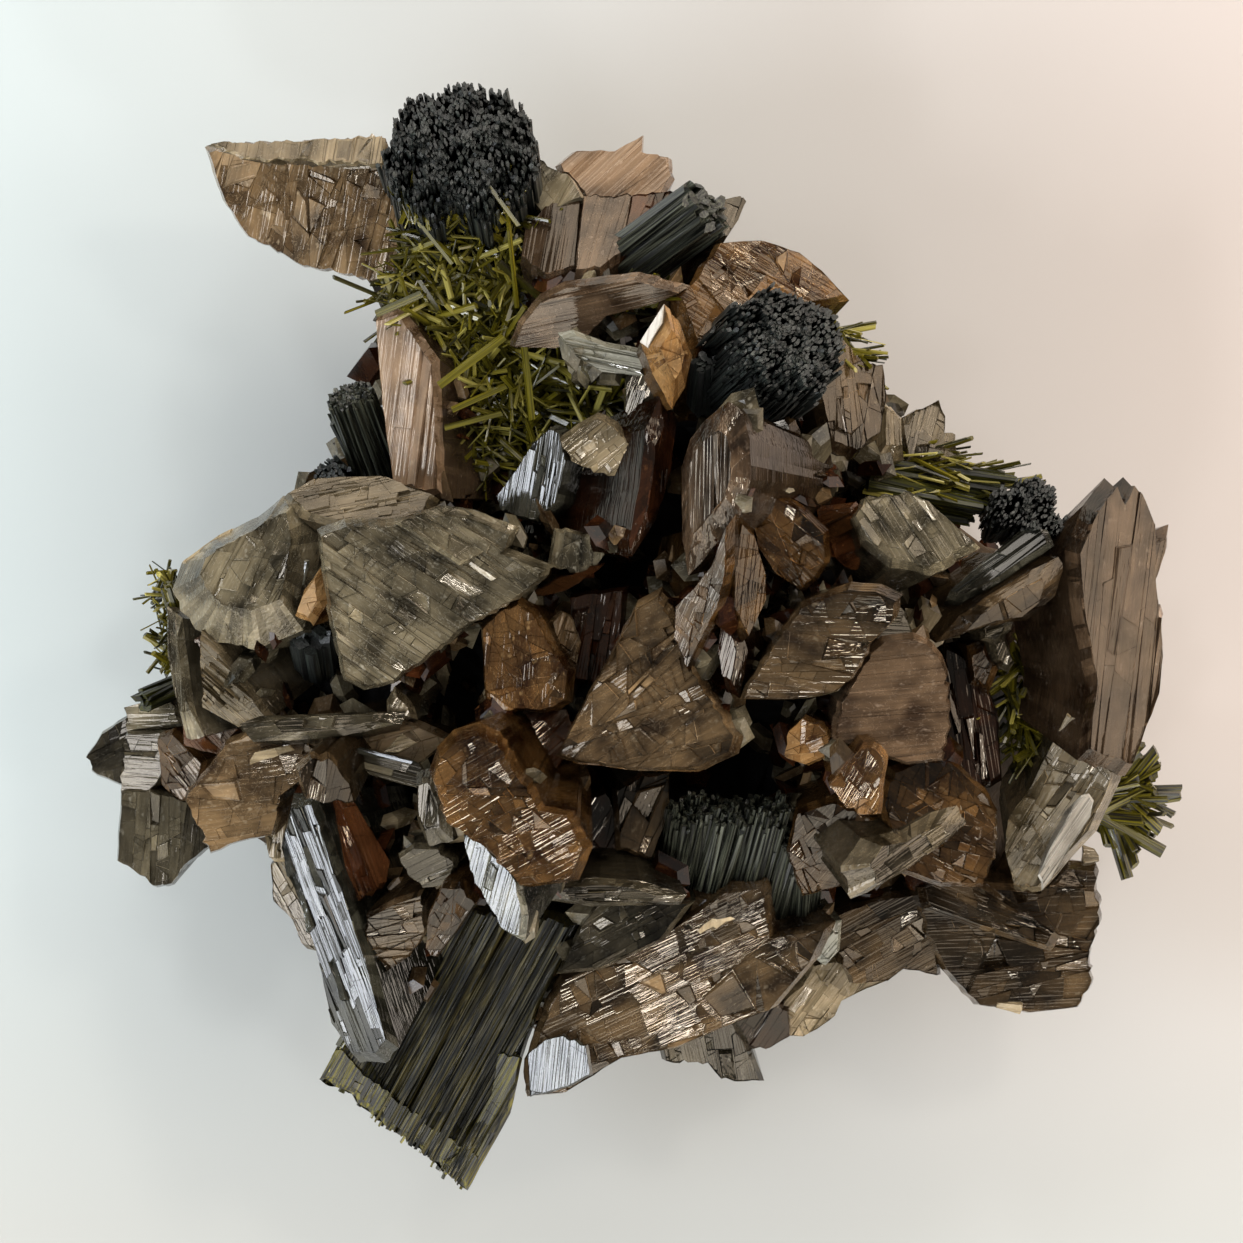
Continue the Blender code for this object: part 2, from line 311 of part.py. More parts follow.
KNOB_TOP_LEFT = Column((46.6, 18.8, 25), (45.9, 14.6, 45), 7.2, 6.3, 11)
KNOB_RIGHT_TOP = Column((74.4, 38.4, 35), (79.2, 34.2, 54.5), 5.4, 5.2, 10)
KNOB_RIGHT = Column((102.2, 52.8, 26), (103.4, 51.0, 38), 3.3, 3.1, 9)
COLUMNS_TOP = [
    Column((62.2, 26.6, 34.5), (70.9, 20.4, 42.6), 3.1, 2.2, 6),
    Column((65.4, 26.4, 34), (71.6, 22.0, 41), 1.6, 2.4, 5),
]
COLUMNS_LEFT = [
    Column((38.6, 48.8, 24), (34.9, 39.2, 31.5), 2.5, 2.1, 6),
    Column((36.4, 47.0, 25), (33.9, 41.0, 29), 1.2, 1.6, 5),
]
CUBE_LEFT = Column((34.4, 48.2, 22), (32.9, 47.2, 30), 1.7, 1.5, 4)
BLOCK_LEFT = Column((31.6, 67.8, 26), (30.9, 63.2, 38), 2.2, 2.3, 6)
RODS_BACK = [
    Column((86.6, 46.4, 31), (101.0, 48.4, 29.5), 1.3, 1.3, 5),
    Column((86.8, 48.0, 32), (99.8, 50.6, 30), 1.5, 1.4, 6),
    Column((86.8, 49.6, 30.5), (97.6, 51.6, 28.5), 0.9, 1.2, 5),
]
BARREL_SMALL = Column((70.2, 40.6, 40), (70.5, 36.0, 47), 1.35, 1.35, 6)
MASS_LOW = [
    Column((67.8, 87.8, 31), (69.2, 80.4, 41), 2.3, 2.0, 6),
    Column((71.0, 88.6, 31), (73.2, 80.2, 41), 2.2, 2.1, 6),
    Column((74.4, 89.8, 30), (76.8, 80.4, 40), 2.3, 2.1, 6),
    Column((77.0, 92.4, 29), (79.6, 83.0, 37), 2.0, 1.9, 6),
    Column((80.0, 93.2, 28), (80.6, 86.0, 36), 1.6, 1.7, 5),
]
TUFT_LEFT = [
    Column((18.2, 63.4, 27), (16.6, 57.6, 30), 0.9, 0.8, 5),
    Column((18.6, 61.8, 26), (16.2, 62.2, 28), 0.8, 0.8, 5),
    Column((18.6, 63.0, 26), (16.3, 67.2, 27), 0.9, 0.8, 5),
]
GREEN_LEFT = Column((17.4, 68.6, 20), (13.7, 70.4, 24), 1.2, 1.3, 5)
PLATE_BOTTOM = Blade("plate_bottom", 27, (20, 240), (1.4, 7), (47, 101.5), 0.86, [
    (31.8, 108.1), (34.5, 109.3), (38, 112.3), (42, 115.1), (46.7, 119.3), (51, 111.5), (52.2, 106),
    (54.2, 100), (58.2, 91.8), (53, 90.6), (45.6, 90.2), (40.2, 99.6)])
PLATE_STRIAE_HEADING = 61
PLATE_LATHS = [
    # Offset across the plate, length along the striae, width and rise of each raised lath
    (-8.6, 13, 1.6, 0.7), (-5.2, 18, 1.4, 0.9), (-1.6, 21, 1.8, 0.6), (2.2, 21, 1.3, 1.0),
    (5.4, 19, 1.5, 0.7),
]


def place(x, y, z):
    return Vector(((x - PLAN_CENTRE[0]) * MM, (PLAN_CENTRE[1] - y) * MM, z * MM))


def mesh_object(name, bm):
    bmesh.ops.recalc_face_normals(bm, faces=bm.faces)
    mesh = bpy.data.meshes.new(name)
    bm.to_mesh(mesh)
    bm.free()
    shape = bpy.data.objects.new(name, mesh)
    bpy.context.collection.objects.link(shape)
    return shape


def wedge(name, rim, crest, above, below, top, foot):
    """A crystal with a knife edge: the rim, a smaller face above it and another below."""
    bm = bmesh.new()
    face = bm.faces.new([bm.verts.new(point) for point in rim])
    about_crest = Matrix.Translation(-crest)
    raised = bmesh.ops.extrude_face_region(bm, geom=[face])["geom"]
    verts = [item for item in raised if isinstance(item, bmesh.types.BMVert)]
    bmesh.ops.scale(bm, vec=(top, top, top), space=about_crest, verts=verts)
    bmesh.ops.translate(bm, vec=above, verts=verts)
    lowered = bmesh.ops.extrude_discrete_faces(bm, faces=[face])["faces"][0]
    bmesh.ops.scale(bm, vec=(foot, foot, foot), space=about_crest, verts=lowered.verts)
    bmesh.ops.translate(bm, vec=below, verts=lowered.verts)
    return mesh_object(name, bm)


def blade(spec, grow=0.0):
    dip, heading = (math.radians(angle) for angle in spec.fall)
    downhill = Vector((math.cos(heading), math.sin(heading), 0))
    normal = downhill * math.sin(dip) + Vector((0, 0, math.cos(dip)))
    crest = place(*spec.crest, spec.height)
    rim = []
    for x, y in spec.outline:
        point = place(x, y, spec.height)
        point.z -= math.tan(dip) * (point - crest).dot(downhill)
        rim.append(point + (point - crest).normalized() * 1.5 * grow * MM)
    inward = place(*CORE, spec.height) - crest
    above = normal * (spec.thick[0] + grow) * MM
    below = inward * ROOT_PULL - normal * (spec.thick[1] + grow) * MM
    return wedge(spec.name, rim, crest, above, below, spec.top, FOOT_SCALE)


def along(start, end):
    """The turn that points a crystal's length from its start to its end."""
    axis = end - start
    return Matrix.Translation(start) @ axis.to_track_quat("Z", "Y").to_matrix().to_4x4()


def column(spec, grow=0.0, name="column"):
    """A prism with flat sides, whose end slopes as a crystal's termination does."""
    start = place(*spec.start)
    end = place(*spec.end)
    length = (end - start).length
    bm = bmesh.new()
    cap = bmesh.ops.create_circle(bm, cap_ends=True, segments=spec.sides, radius=MM)["verts"]
    width = spec.width + grow
    thick = spec.thick + grow
    bmesh.ops.scale(bm, vec=(width, thick, 1), verts=cap)
    bmesh.ops.translate(bm, vec=(0, 0, -grow * MM), verts=cap)
    raised = bmesh.ops.extrude_face_region(bm, geom=bm.faces[:])["geom"]
    verts = [item for item in raised if isinstance(item, bmesh.types.BMVert)]
    bmesh.ops.translate(bm, vec=(0, 0, length + 2 * grow * MM), verts=verts)
    slope = Matrix.Shear("XY", 4, (0, 0)).to_4x4()
    slope[2][0] = 0.3
    bmesh.ops.transform(bm, matrix=slope, verts=verts)
    bmesh.ops.transform(bm, matrix=along(start, end), verts=bm.verts)
    return mesh_object(name, bm)


def needle(start, end, thickness, grow=0.0, name="needle"):
    """A four-sided needle with a chisel end."""
    start = place(*start)
    end = place(*end)
    length = (end - start).length
    half = (thickness / 2 + grow) * MM
    bm = bmesh.new()
    bmesh.ops.create_cube(bm, size=1)
    bmesh.ops.translate(bm, vec=(0, 0, 0.5), verts=bm.verts)
    bmesh.ops.scale(bm, vec=(2 * half, 1.5 * half, length + grow * MM), verts=bm.verts)
    tip = [vert for vert in bm.verts if vert.co.z > length / 2 and vert.co.x > 0]
    bmesh.ops.translate(bm, vec=(0, 0, -half), verts=tip)
    bmesh.ops.transform(bm, matrix=along(start, end), verts=bm.verts)
    return mesh_object(name, bm)


def root_mass():
    """The grown-together root under the blades, narrow at the cut and widest under their rims."""
    bm = bmesh.new()
    centre = place(*CORE, 0)
    rim = [bm.verts.new(place(x, y, 0)) for x, y in ROOT_WAIST]
    face = bm.faces.new(rim)
    raised = bmesh.ops.extrude_face_region(bm, geom=[face])["geom"]
    loops = [face.verts[:], [item for item in raised if isinstance(item, bmesh.types.BMVert)]]
    top = bmesh.ops.extrude_discrete_faces(
        bm, faces=[item for item in raised if isinstance(item, bmesh.types.BMFace)]
    )["faces"][0]
    loops.append(top.verts[:])
    for verts, (scale, height) in zip(loops, ROOT_LEVELS):
        bmesh.ops.scale(bm, vec=(scale, scale, 1), space=Matrix.Translation(-centre), verts=verts)
        bmesh.ops.translate(bm, vec=(0, 0, height * MM), verts=verts)
    return mesh_object("root_mass", bm)


def waist_reach(angle):
    """How far the root's waist lies from the core, in millimetres, toward an angle."""
    ahead = Vector((math.cos(angle), math.sin(angle)))
    best = 0.0
    for (ax, ay), (bx, by) in zip(ROOT_WAIST, ROOT_WAIST[1:] + ROOT_WAIST[:1]):
        a = Vector((ax - CORE[0], CORE[1] - ay))
        edge = Vector((bx - ax, ay - by))
        across = ahead.cross(edge)
        if abs(across) < 1e-9:
            continue
        reach = a.cross(edge) / across
        share = a.cross(ahead) / across
        if 0 <= share <= 1 and reach > best:
            best = reach
    return best


def flank_crystals():
    """Short blades that stand out from the root all round, under the large blades' rims."""
    draw = random.Random(FLANK_SEED)
    crystals = []
    for i in range(FLANK_COUNT):
        angle = i * GOLDEN_ANGLE
        height = draw.uniform(*FLANK_HEIGHTS)
        low, widest = ROOT_LEVELS[:2]
        spread = low[0] + (widest[0] - low[0]) * min(height / widest[1], 1)
        reach = waist_reach(angle) * spread - FLANK_SUNK
        length = draw.uniform(*FLANK_LENGTH)
        width = draw.uniform(*FLANK_WIDTH)
        thick = draw.uniform(*FLANK_THICK)
        lean = math.radians(draw.uniform(4, 30))
        spin = math.radians(draw.uniform(-70, 70))
        swing = angle + math.radians(draw.uniform(-35, 35))
        foot = place(CORE[0] + reach * math.cos(angle), CORE[1] - reach * math.sin(angle), height)
        forward = Vector((math.cos(swing) * math.cos(lean), math.sin(swing) * math.cos(lean), math.sin(lean)))
        turn = Matrix.Translation(foot) @ forward.to_track_quat("Y", "Z").to_matrix().to_4x4()
        turn = turn @ Matrix.Rotation(spin, 4, "Y")
        shape = [(-0.5, -0.4), (0.5, -0.4), (0.62, 0.3), (0.2, 0.62), (-0.45, 0.5)]
        rim = [turn @ Vector((u * width * MM, v * length * MM, 0)) for u, v in shape]
        crest = turn @ Vector((0, 0, 0))
        up = (turn.to_3x3() @ Vector((0, 0, 1))) * thick * MM
        crystals.append(wedge(f"flank_{i}", rim, crest, up, -up, 0.6, 0.6))
    return crystals


def bundle(spec, rods, seed):
    """A fibrous knob: a stout core with a ring of thinner columns grown on its sides and its end."""
    draw = random.Random(seed)
    start = place(*spec.start)
    end = place(*spec.end)
    turn = along(start, end).to_3x3()
    shapes = [column(spec._replace(width=0.86 * spec.width, thick=0.86 * spec.thick))]
    for i in range(rods):
        angle = 2 * math.pi * (i + draw.uniform(-0.25, 0.25)) / rods
        rim = 0.78 if i % 3 else 0.45
        off = turn @ Vector((math.cos(angle) * spec.width * rim, math.sin(angle) * spec.thick * rim, 0))
        rise = draw.uniform(-2.2, 0.6) if i % 3 else draw.uniform(0.2, 1.2)
        tip = turn @ Vector((0, 0, rise))
        width = draw.uniform(0.2, 0.27) * spec.width
        sunk = turn @ Vector((0, 0, 0.5 + 0.23 * i))
        shapes.append(column(Column(
            (spec.start[0] + off.x + sunk.x, spec.start[1] - off.y - sunk.y, spec.start[2] + off.z + sunk.z),
            (spec.end[0] + off.x + tip.x, spec.end[1] - off.y - tip.y, spec.end[2] + off.z + tip.z),
            width, width, 5)))
    return shapes


def plate_laths():
    """Raised laths along the striae of the bottom plate, as columns."""
    dip, heading = (math.radians(angle) for angle in PLATE_BOTTOM.fall)
    downhill = Vector((math.cos(heading), math.sin(heading), 0))
    run = Vector((math.cos(math.radians(PLATE_STRIAE_HEADING)), math.sin(math.radians(PLATE_STRIAE_HEADING)), 0))
    side = Vector((run.y, -run.x, 0))
    laths = []
    for offset, length, width, rise in PLATE_LATHS:
        ends = []
        for half in (-0.5, 0.5):
            step = side * offset + run * length * half
            drop = math.tan(dip) * step.dot(downhill)
            x, y = PLATE_BOTTOM.crest
            ends.append((x + step.x, y - step.y, PLATE_BOTTOM.height + rise - drop))
        laths.append(Column(ends[0], ends[1], width, width, 5))
    return laths


def evaluated_copy(shape, name):
    graph = bpy.context.evaluated_depsgraph_get()
    mesh = bpy.data.meshes.new_from_object(shape.evaluated_get(graph))
    mesh.name = name
    copy = bpy.data.objects.new(name, mesh)
    bpy.context.collection.objects.link(copy)
    return copy


def combine(name, base, others, operation):
    """One exact Boolean of a shape with a set of others, which are used up."""
    helpers = bpy.data.collections.new("helpers")
    for other in others:
        helpers.objects.link(other)
    modifier = base.modifiers.new(operation.lower(), "BOOLEAN")
    modifier.solver = "EXACT"
    modifier.operation = operation
    modifier.operand_type = "COLLECTION"
    modifier.collection = helpers
    result = evaluated_copy(base, name)
    for used in [base, *others]:
        bpy.data.objects.remove(used, do_unlink=True)
    bpy.data.collections.remove(helpers)
    return result


def fuse(name, shapes):
    return combine(name, shapes[0], shapes[1:], "UNION") if len(shapes) > 1 else shapes[0]


def islands(bm):
    left = set(bm.faces)
    while left:
        found = {left.pop()}
        front = list(found)
        while front:
            for edge in front.pop().edges:
                for face in edge.link_faces:
                    if face in left:
                        left.discard(face)
                        found.add(face)
                        front.append(face)
        yield found


def keep_largest(shape):
    """Drops chips that a pocket cut loose."""
    bm = bmesh.new()
    bm.from_mesh(shape.data)
    parts = sorted(islands(bm), key=len)
    loose = {vert for part in parts[:-1] for face in part for vert in face.verts}
    bmesh.ops.delete(bm, geom=list(loose), context="VERTS")
    bm.to_mesh(shape.data)
    bm.free()


def slab_below_table():
    bm = bmesh.new()
    bmesh.ops.create_cube(bm, size=0.3)
    bmesh.ops.translate(bm, vec=(0, 0, -0.15), verts=bm.verts)
    return mesh_object("below_cut", bm)


def tree_of(shape):
    bm = bmesh.new()
    bm.from_mesh(shape.data)
    bm.transform(shape.matrix_world)
    tree = BVHTree.FromBMesh(bm)
    bm.free()
    return tree


def random_needles(mound, count, long_range, lift, reach, seed, obstacles):
    """Needles that stand from a mound in all directions, each clear of everything that it isn't part of."""
    draw = random.Random(seed)
    kept = []
    xs = [point[0] for point in mound.outline]
    ys = [point[1] for point in mound.outline]
    while len(kept) < count:
        x = mound.crest[0] + draw.uniform(-0.42, 0.42) * (max(xs) - min(xs))
        y = mound.crest[1] + draw.uniform(-0.42, 0.42) * (max(ys) - min(ys))
        heading = draw.uniform(*reach)
        rise = math.radians(draw.uniform(*lift))
        length = draw.uniform(*long_range)
        start = (x, y, mound.height - 1.2)
        end = (
            x + length * math.cos(rise) * math.cos(heading),
            y - length * math.cos(rise) * math.sin(heading),
            start[2] + length * math.sin(rise),
        )
        test = needle(start, end, 0.9, grow=0.4)
        grown = tree_of(test)
        bpy.data.objects.remove(test, do_unlink=True)
        if not any(grown.overlap(tree) for tree in obstacles):
            kept.append(needle(start, end, 0.9))
        elif draw.random() < 0.02:
            count -= 1
    return kept


def finish(shape, name, colour, roughness, transmission=0.0):
    shape.name = name
    shape.data.name = name
    material = bpy.data.materials.new(name)
    material.use_nodes = True
    shader = material.node_tree.nodes["Principled BSDF"]
    shader.inputs["Base Color"].default_value = (*colour, 1)
    shader.inputs["Roughness"].default_value = roughness
    shader.inputs["Transmission Weight"].default_value = transmission
    shape.data.materials.clear()
    shape.data.materials.append(material)
    return shape


for old in list(bpy.data.objects):
    bpy.data.objects.remove(old, do_unlink=True)

BLACK_GREEN = (0.012, 0.022, 0.018)
OLIVE = (0.16, 0.17, 0.02)
OLIVE_DARK = (0.05, 0.055, 0.015)
CLOVE_BROWN = (0.17, 0.095, 0.06)

# Each epidote crystal or group: its name, the shapes it is grown from, the pocket that holds it and
# its colour. Those earlier in the list keep their form, and later ones make room for them.
GROUPS = [
    ("epidote_knob_top_left", lambda: bundle(KNOB_TOP_LEFT, 12, 3), [KNOB_TOP_LEFT], BLACK_GREEN),
    ("epidote_knob_right_top", lambda: bundle(KNOB_RIGHT_TOP, 9, 4), [KNOB_RIGHT_TOP], BLACK_GREEN),
    ("epidote_knob_right", lambda: bundle(KNOB_RIGHT, 7, 5), [KNOB_RIGHT], BLACK_GREEN),
    ("epidote_column_top", lambda: [column(c) for c in COLUMNS_TOP], COLUMNS_TOP, BLACK_GREEN),
    ("epidote_column_left", lambda: [column(c) for c in COLUMNS_LEFT], COLUMNS_LEFT, BLACK_GREEN),
    ("epidote_cube_left", lambda: [column(CUBE_LEFT)], [CUBE_LEFT], BLACK_GREEN),
    ("epidote_block_left", lambda: [column(BLOCK_LEFT)], [BLOCK_LEFT], BLACK_GREEN),
    ("epidote_rods_back", lambda: [column(c) for c in RODS_BACK], RODS_BACK, OLIVE_DARK),
    ("epidote_barrel_small", lambda: [column(BARREL_SMALL)], [BARREL_SMALL], BLACK_GREEN),
    ("epidote_mass_low", lambda: [column(c) for c in MASS_LOW], MASS_LOW, BLACK_GREEN),
    ("epidote_tuft_left", lambda: [column(c) for c in TUFT_LEFT], TUFT_LEFT, OLIVE),
    ("epidote_green_left", lambda: [column(GREEN_LEFT)], [GREEN_LEFT], OLIVE_DARK),
    ("epidote_plate_bottom", lambda: [blade(PLATE_BOTTOM), *[column(c) for c in plate_laths()]],
     [PLATE_BOTTOM, *plate_laths()], OLIVE_DARK),
]
NEEDLE_GROUPS = [
    ("epidote_needle_mat", MAT_MOUND, MAT_LONG_NEEDLES, MAT_NEEDLES, (3.5, 7), (8, 60), (0, 2 * math.pi)),
    ("epidote_needle_spray", SPRAY_MOUND, SPRAY_LONG_NEEDLES, SPRAY_NEEDLES, (4, 6.5), (0, 35), (-1.4, 0.9)),
    ("epidote_needles_hollow", HOLLOW_MOUND, HOLLOW_LONG_NEEDLES, 8, (3, 5), (20, 60), (0, 2 * math.pi)),
]
KNOB_POCKET = 1.3


def pocket(spec):
    if isinstance(spec, Blade):
        return blade(spec, grow=SEAT_GAP)
    wide = spec in (KNOB_TOP_LEFT, KNOB_RIGHT_TOP, KNOB_RIGHT)
    return column(spec, grow=KNOB_POCKET if wide else SEAT_GAP, name="pocket")


def make_specimen():
    pockets = []
    solids = []
    for name, shapes, seats, colour in GROUPS:
        solid = fuse(name, shapes())
        if pockets:
            solid = combine(name, solid, [pocket(seat) for seat in pockets], "DIFFERENCE")
            keep_largest(solid)
        solids.append(finish(solid, name, colour, 0.3))
        pockets.extend(seats)
    mounds = [group[1] for group in NEEDLE_GROUPS]
    grown = [root_mass(), *[blade(spec) for spec in AXINITE], *flank_crystals()]
    cluster = fuse("axinite_cluster", grown)
    cuts = [slab_below_table(), *[pocket(seat) for seat in pockets + mounds]]
    cuts += [needle(*long, grow=SEAT_GAP) for group in NEEDLE_GROUPS for long in group[2]]
    cluster = combine("axinite_cluster", cluster, cuts, "DIFFERENCE")
    keep_largest(cluster)
    solids.append(finish(cluster, "axinite_cluster", CLOVE_BROWN, 0.2, 0.5))
    for index, (name, mound, longs, count, long_range, lift, reach) in enumerate(NEEDLE_GROUPS):
        base = combine(name, blade(mound), [pocket(seat) for seat in pockets], "DIFFERENCE")
        keep_largest(base)
        trees = [tree_of(solid) for solid in solids]
        more = random_needles(mound, count, long_range, lift, reach, NEEDLE_SEED + index, trees)
        solid = fuse(name, [base, *[needle(*long) for long in longs], *more])
        solid = combine(name, solid, [pocket(seat) for seat in pockets], "DIFFERENCE")
        keep_largest(solid)
        solids.append(finish(solid, name, OLIVE, 0.35))
    return solids


make_specimen()
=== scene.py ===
import math
import random

import bmesh
import bpy
from mathutils import Matrix, Vector, noise


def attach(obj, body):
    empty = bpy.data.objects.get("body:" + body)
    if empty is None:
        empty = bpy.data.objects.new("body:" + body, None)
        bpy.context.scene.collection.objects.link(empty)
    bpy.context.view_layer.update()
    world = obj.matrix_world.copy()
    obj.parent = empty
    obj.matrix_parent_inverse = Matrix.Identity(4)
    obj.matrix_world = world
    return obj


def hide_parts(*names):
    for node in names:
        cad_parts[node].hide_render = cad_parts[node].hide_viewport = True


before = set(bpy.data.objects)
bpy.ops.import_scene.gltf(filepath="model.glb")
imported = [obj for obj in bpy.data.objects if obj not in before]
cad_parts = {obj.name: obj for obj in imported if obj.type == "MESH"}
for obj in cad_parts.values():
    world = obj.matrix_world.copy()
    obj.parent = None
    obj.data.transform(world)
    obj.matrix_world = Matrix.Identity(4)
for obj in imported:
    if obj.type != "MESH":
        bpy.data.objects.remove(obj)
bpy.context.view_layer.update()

# Plan places are in millimetres on the specimen seen from above, x to the right and y down the view,
# and heights are millimetres over the cut, as in the part.
MM = 0.001
PLAN_CENTRE = (64.34, 64.14)
CORE = (63.0, 66.0)
VIEW_CENTRE = (62.15, 62.15)
VIEW_WIDTH = 124.3
VIEW_HEIGHT = 35.0
CAMERA_RISE = 3.0
SENSOR = 36
SEED = 5

# How far the lower half of a thick blade leans toward the core, and how much smaller its foot is.
ROOT_PULL = 0.16
FOOT_SCALE = 0.6

# A cut closer than this to a point goes through the point, in metres.
CUT_SNAP = 1e-6

# What a blade's faces are marked as: the striated top, and the narrow ones round it.
TOP_FACE = 1
RIM_FACE = 2

# Rods and small crystals are built a group at a time, because the operators are slow on a large mesh.
RODS_AT_A_TIME = 120
DRUSE_AT_A_TIME = 110

# The small crystals: the groups of each kind, how far they reach from the core, the height under which
# none grows, the one under which none points down, and the one up to which the open flank goes.
DRUSE_GROUPS = {"red": 6, "taupe": 6, "mauve": 3, "pale": 1}
DRUSE_REACH = 39
DRUSE_FOOT = 4
DRUSE_RISING = 9
FLANK_TOP = 22
# Where none grows, seen from above: the span in x and the span in y.
DRUSE_BARE = [((22, 31.5), (44.5, 52)), ((95, 108), (56, 84))]

scene = bpy.context.scene

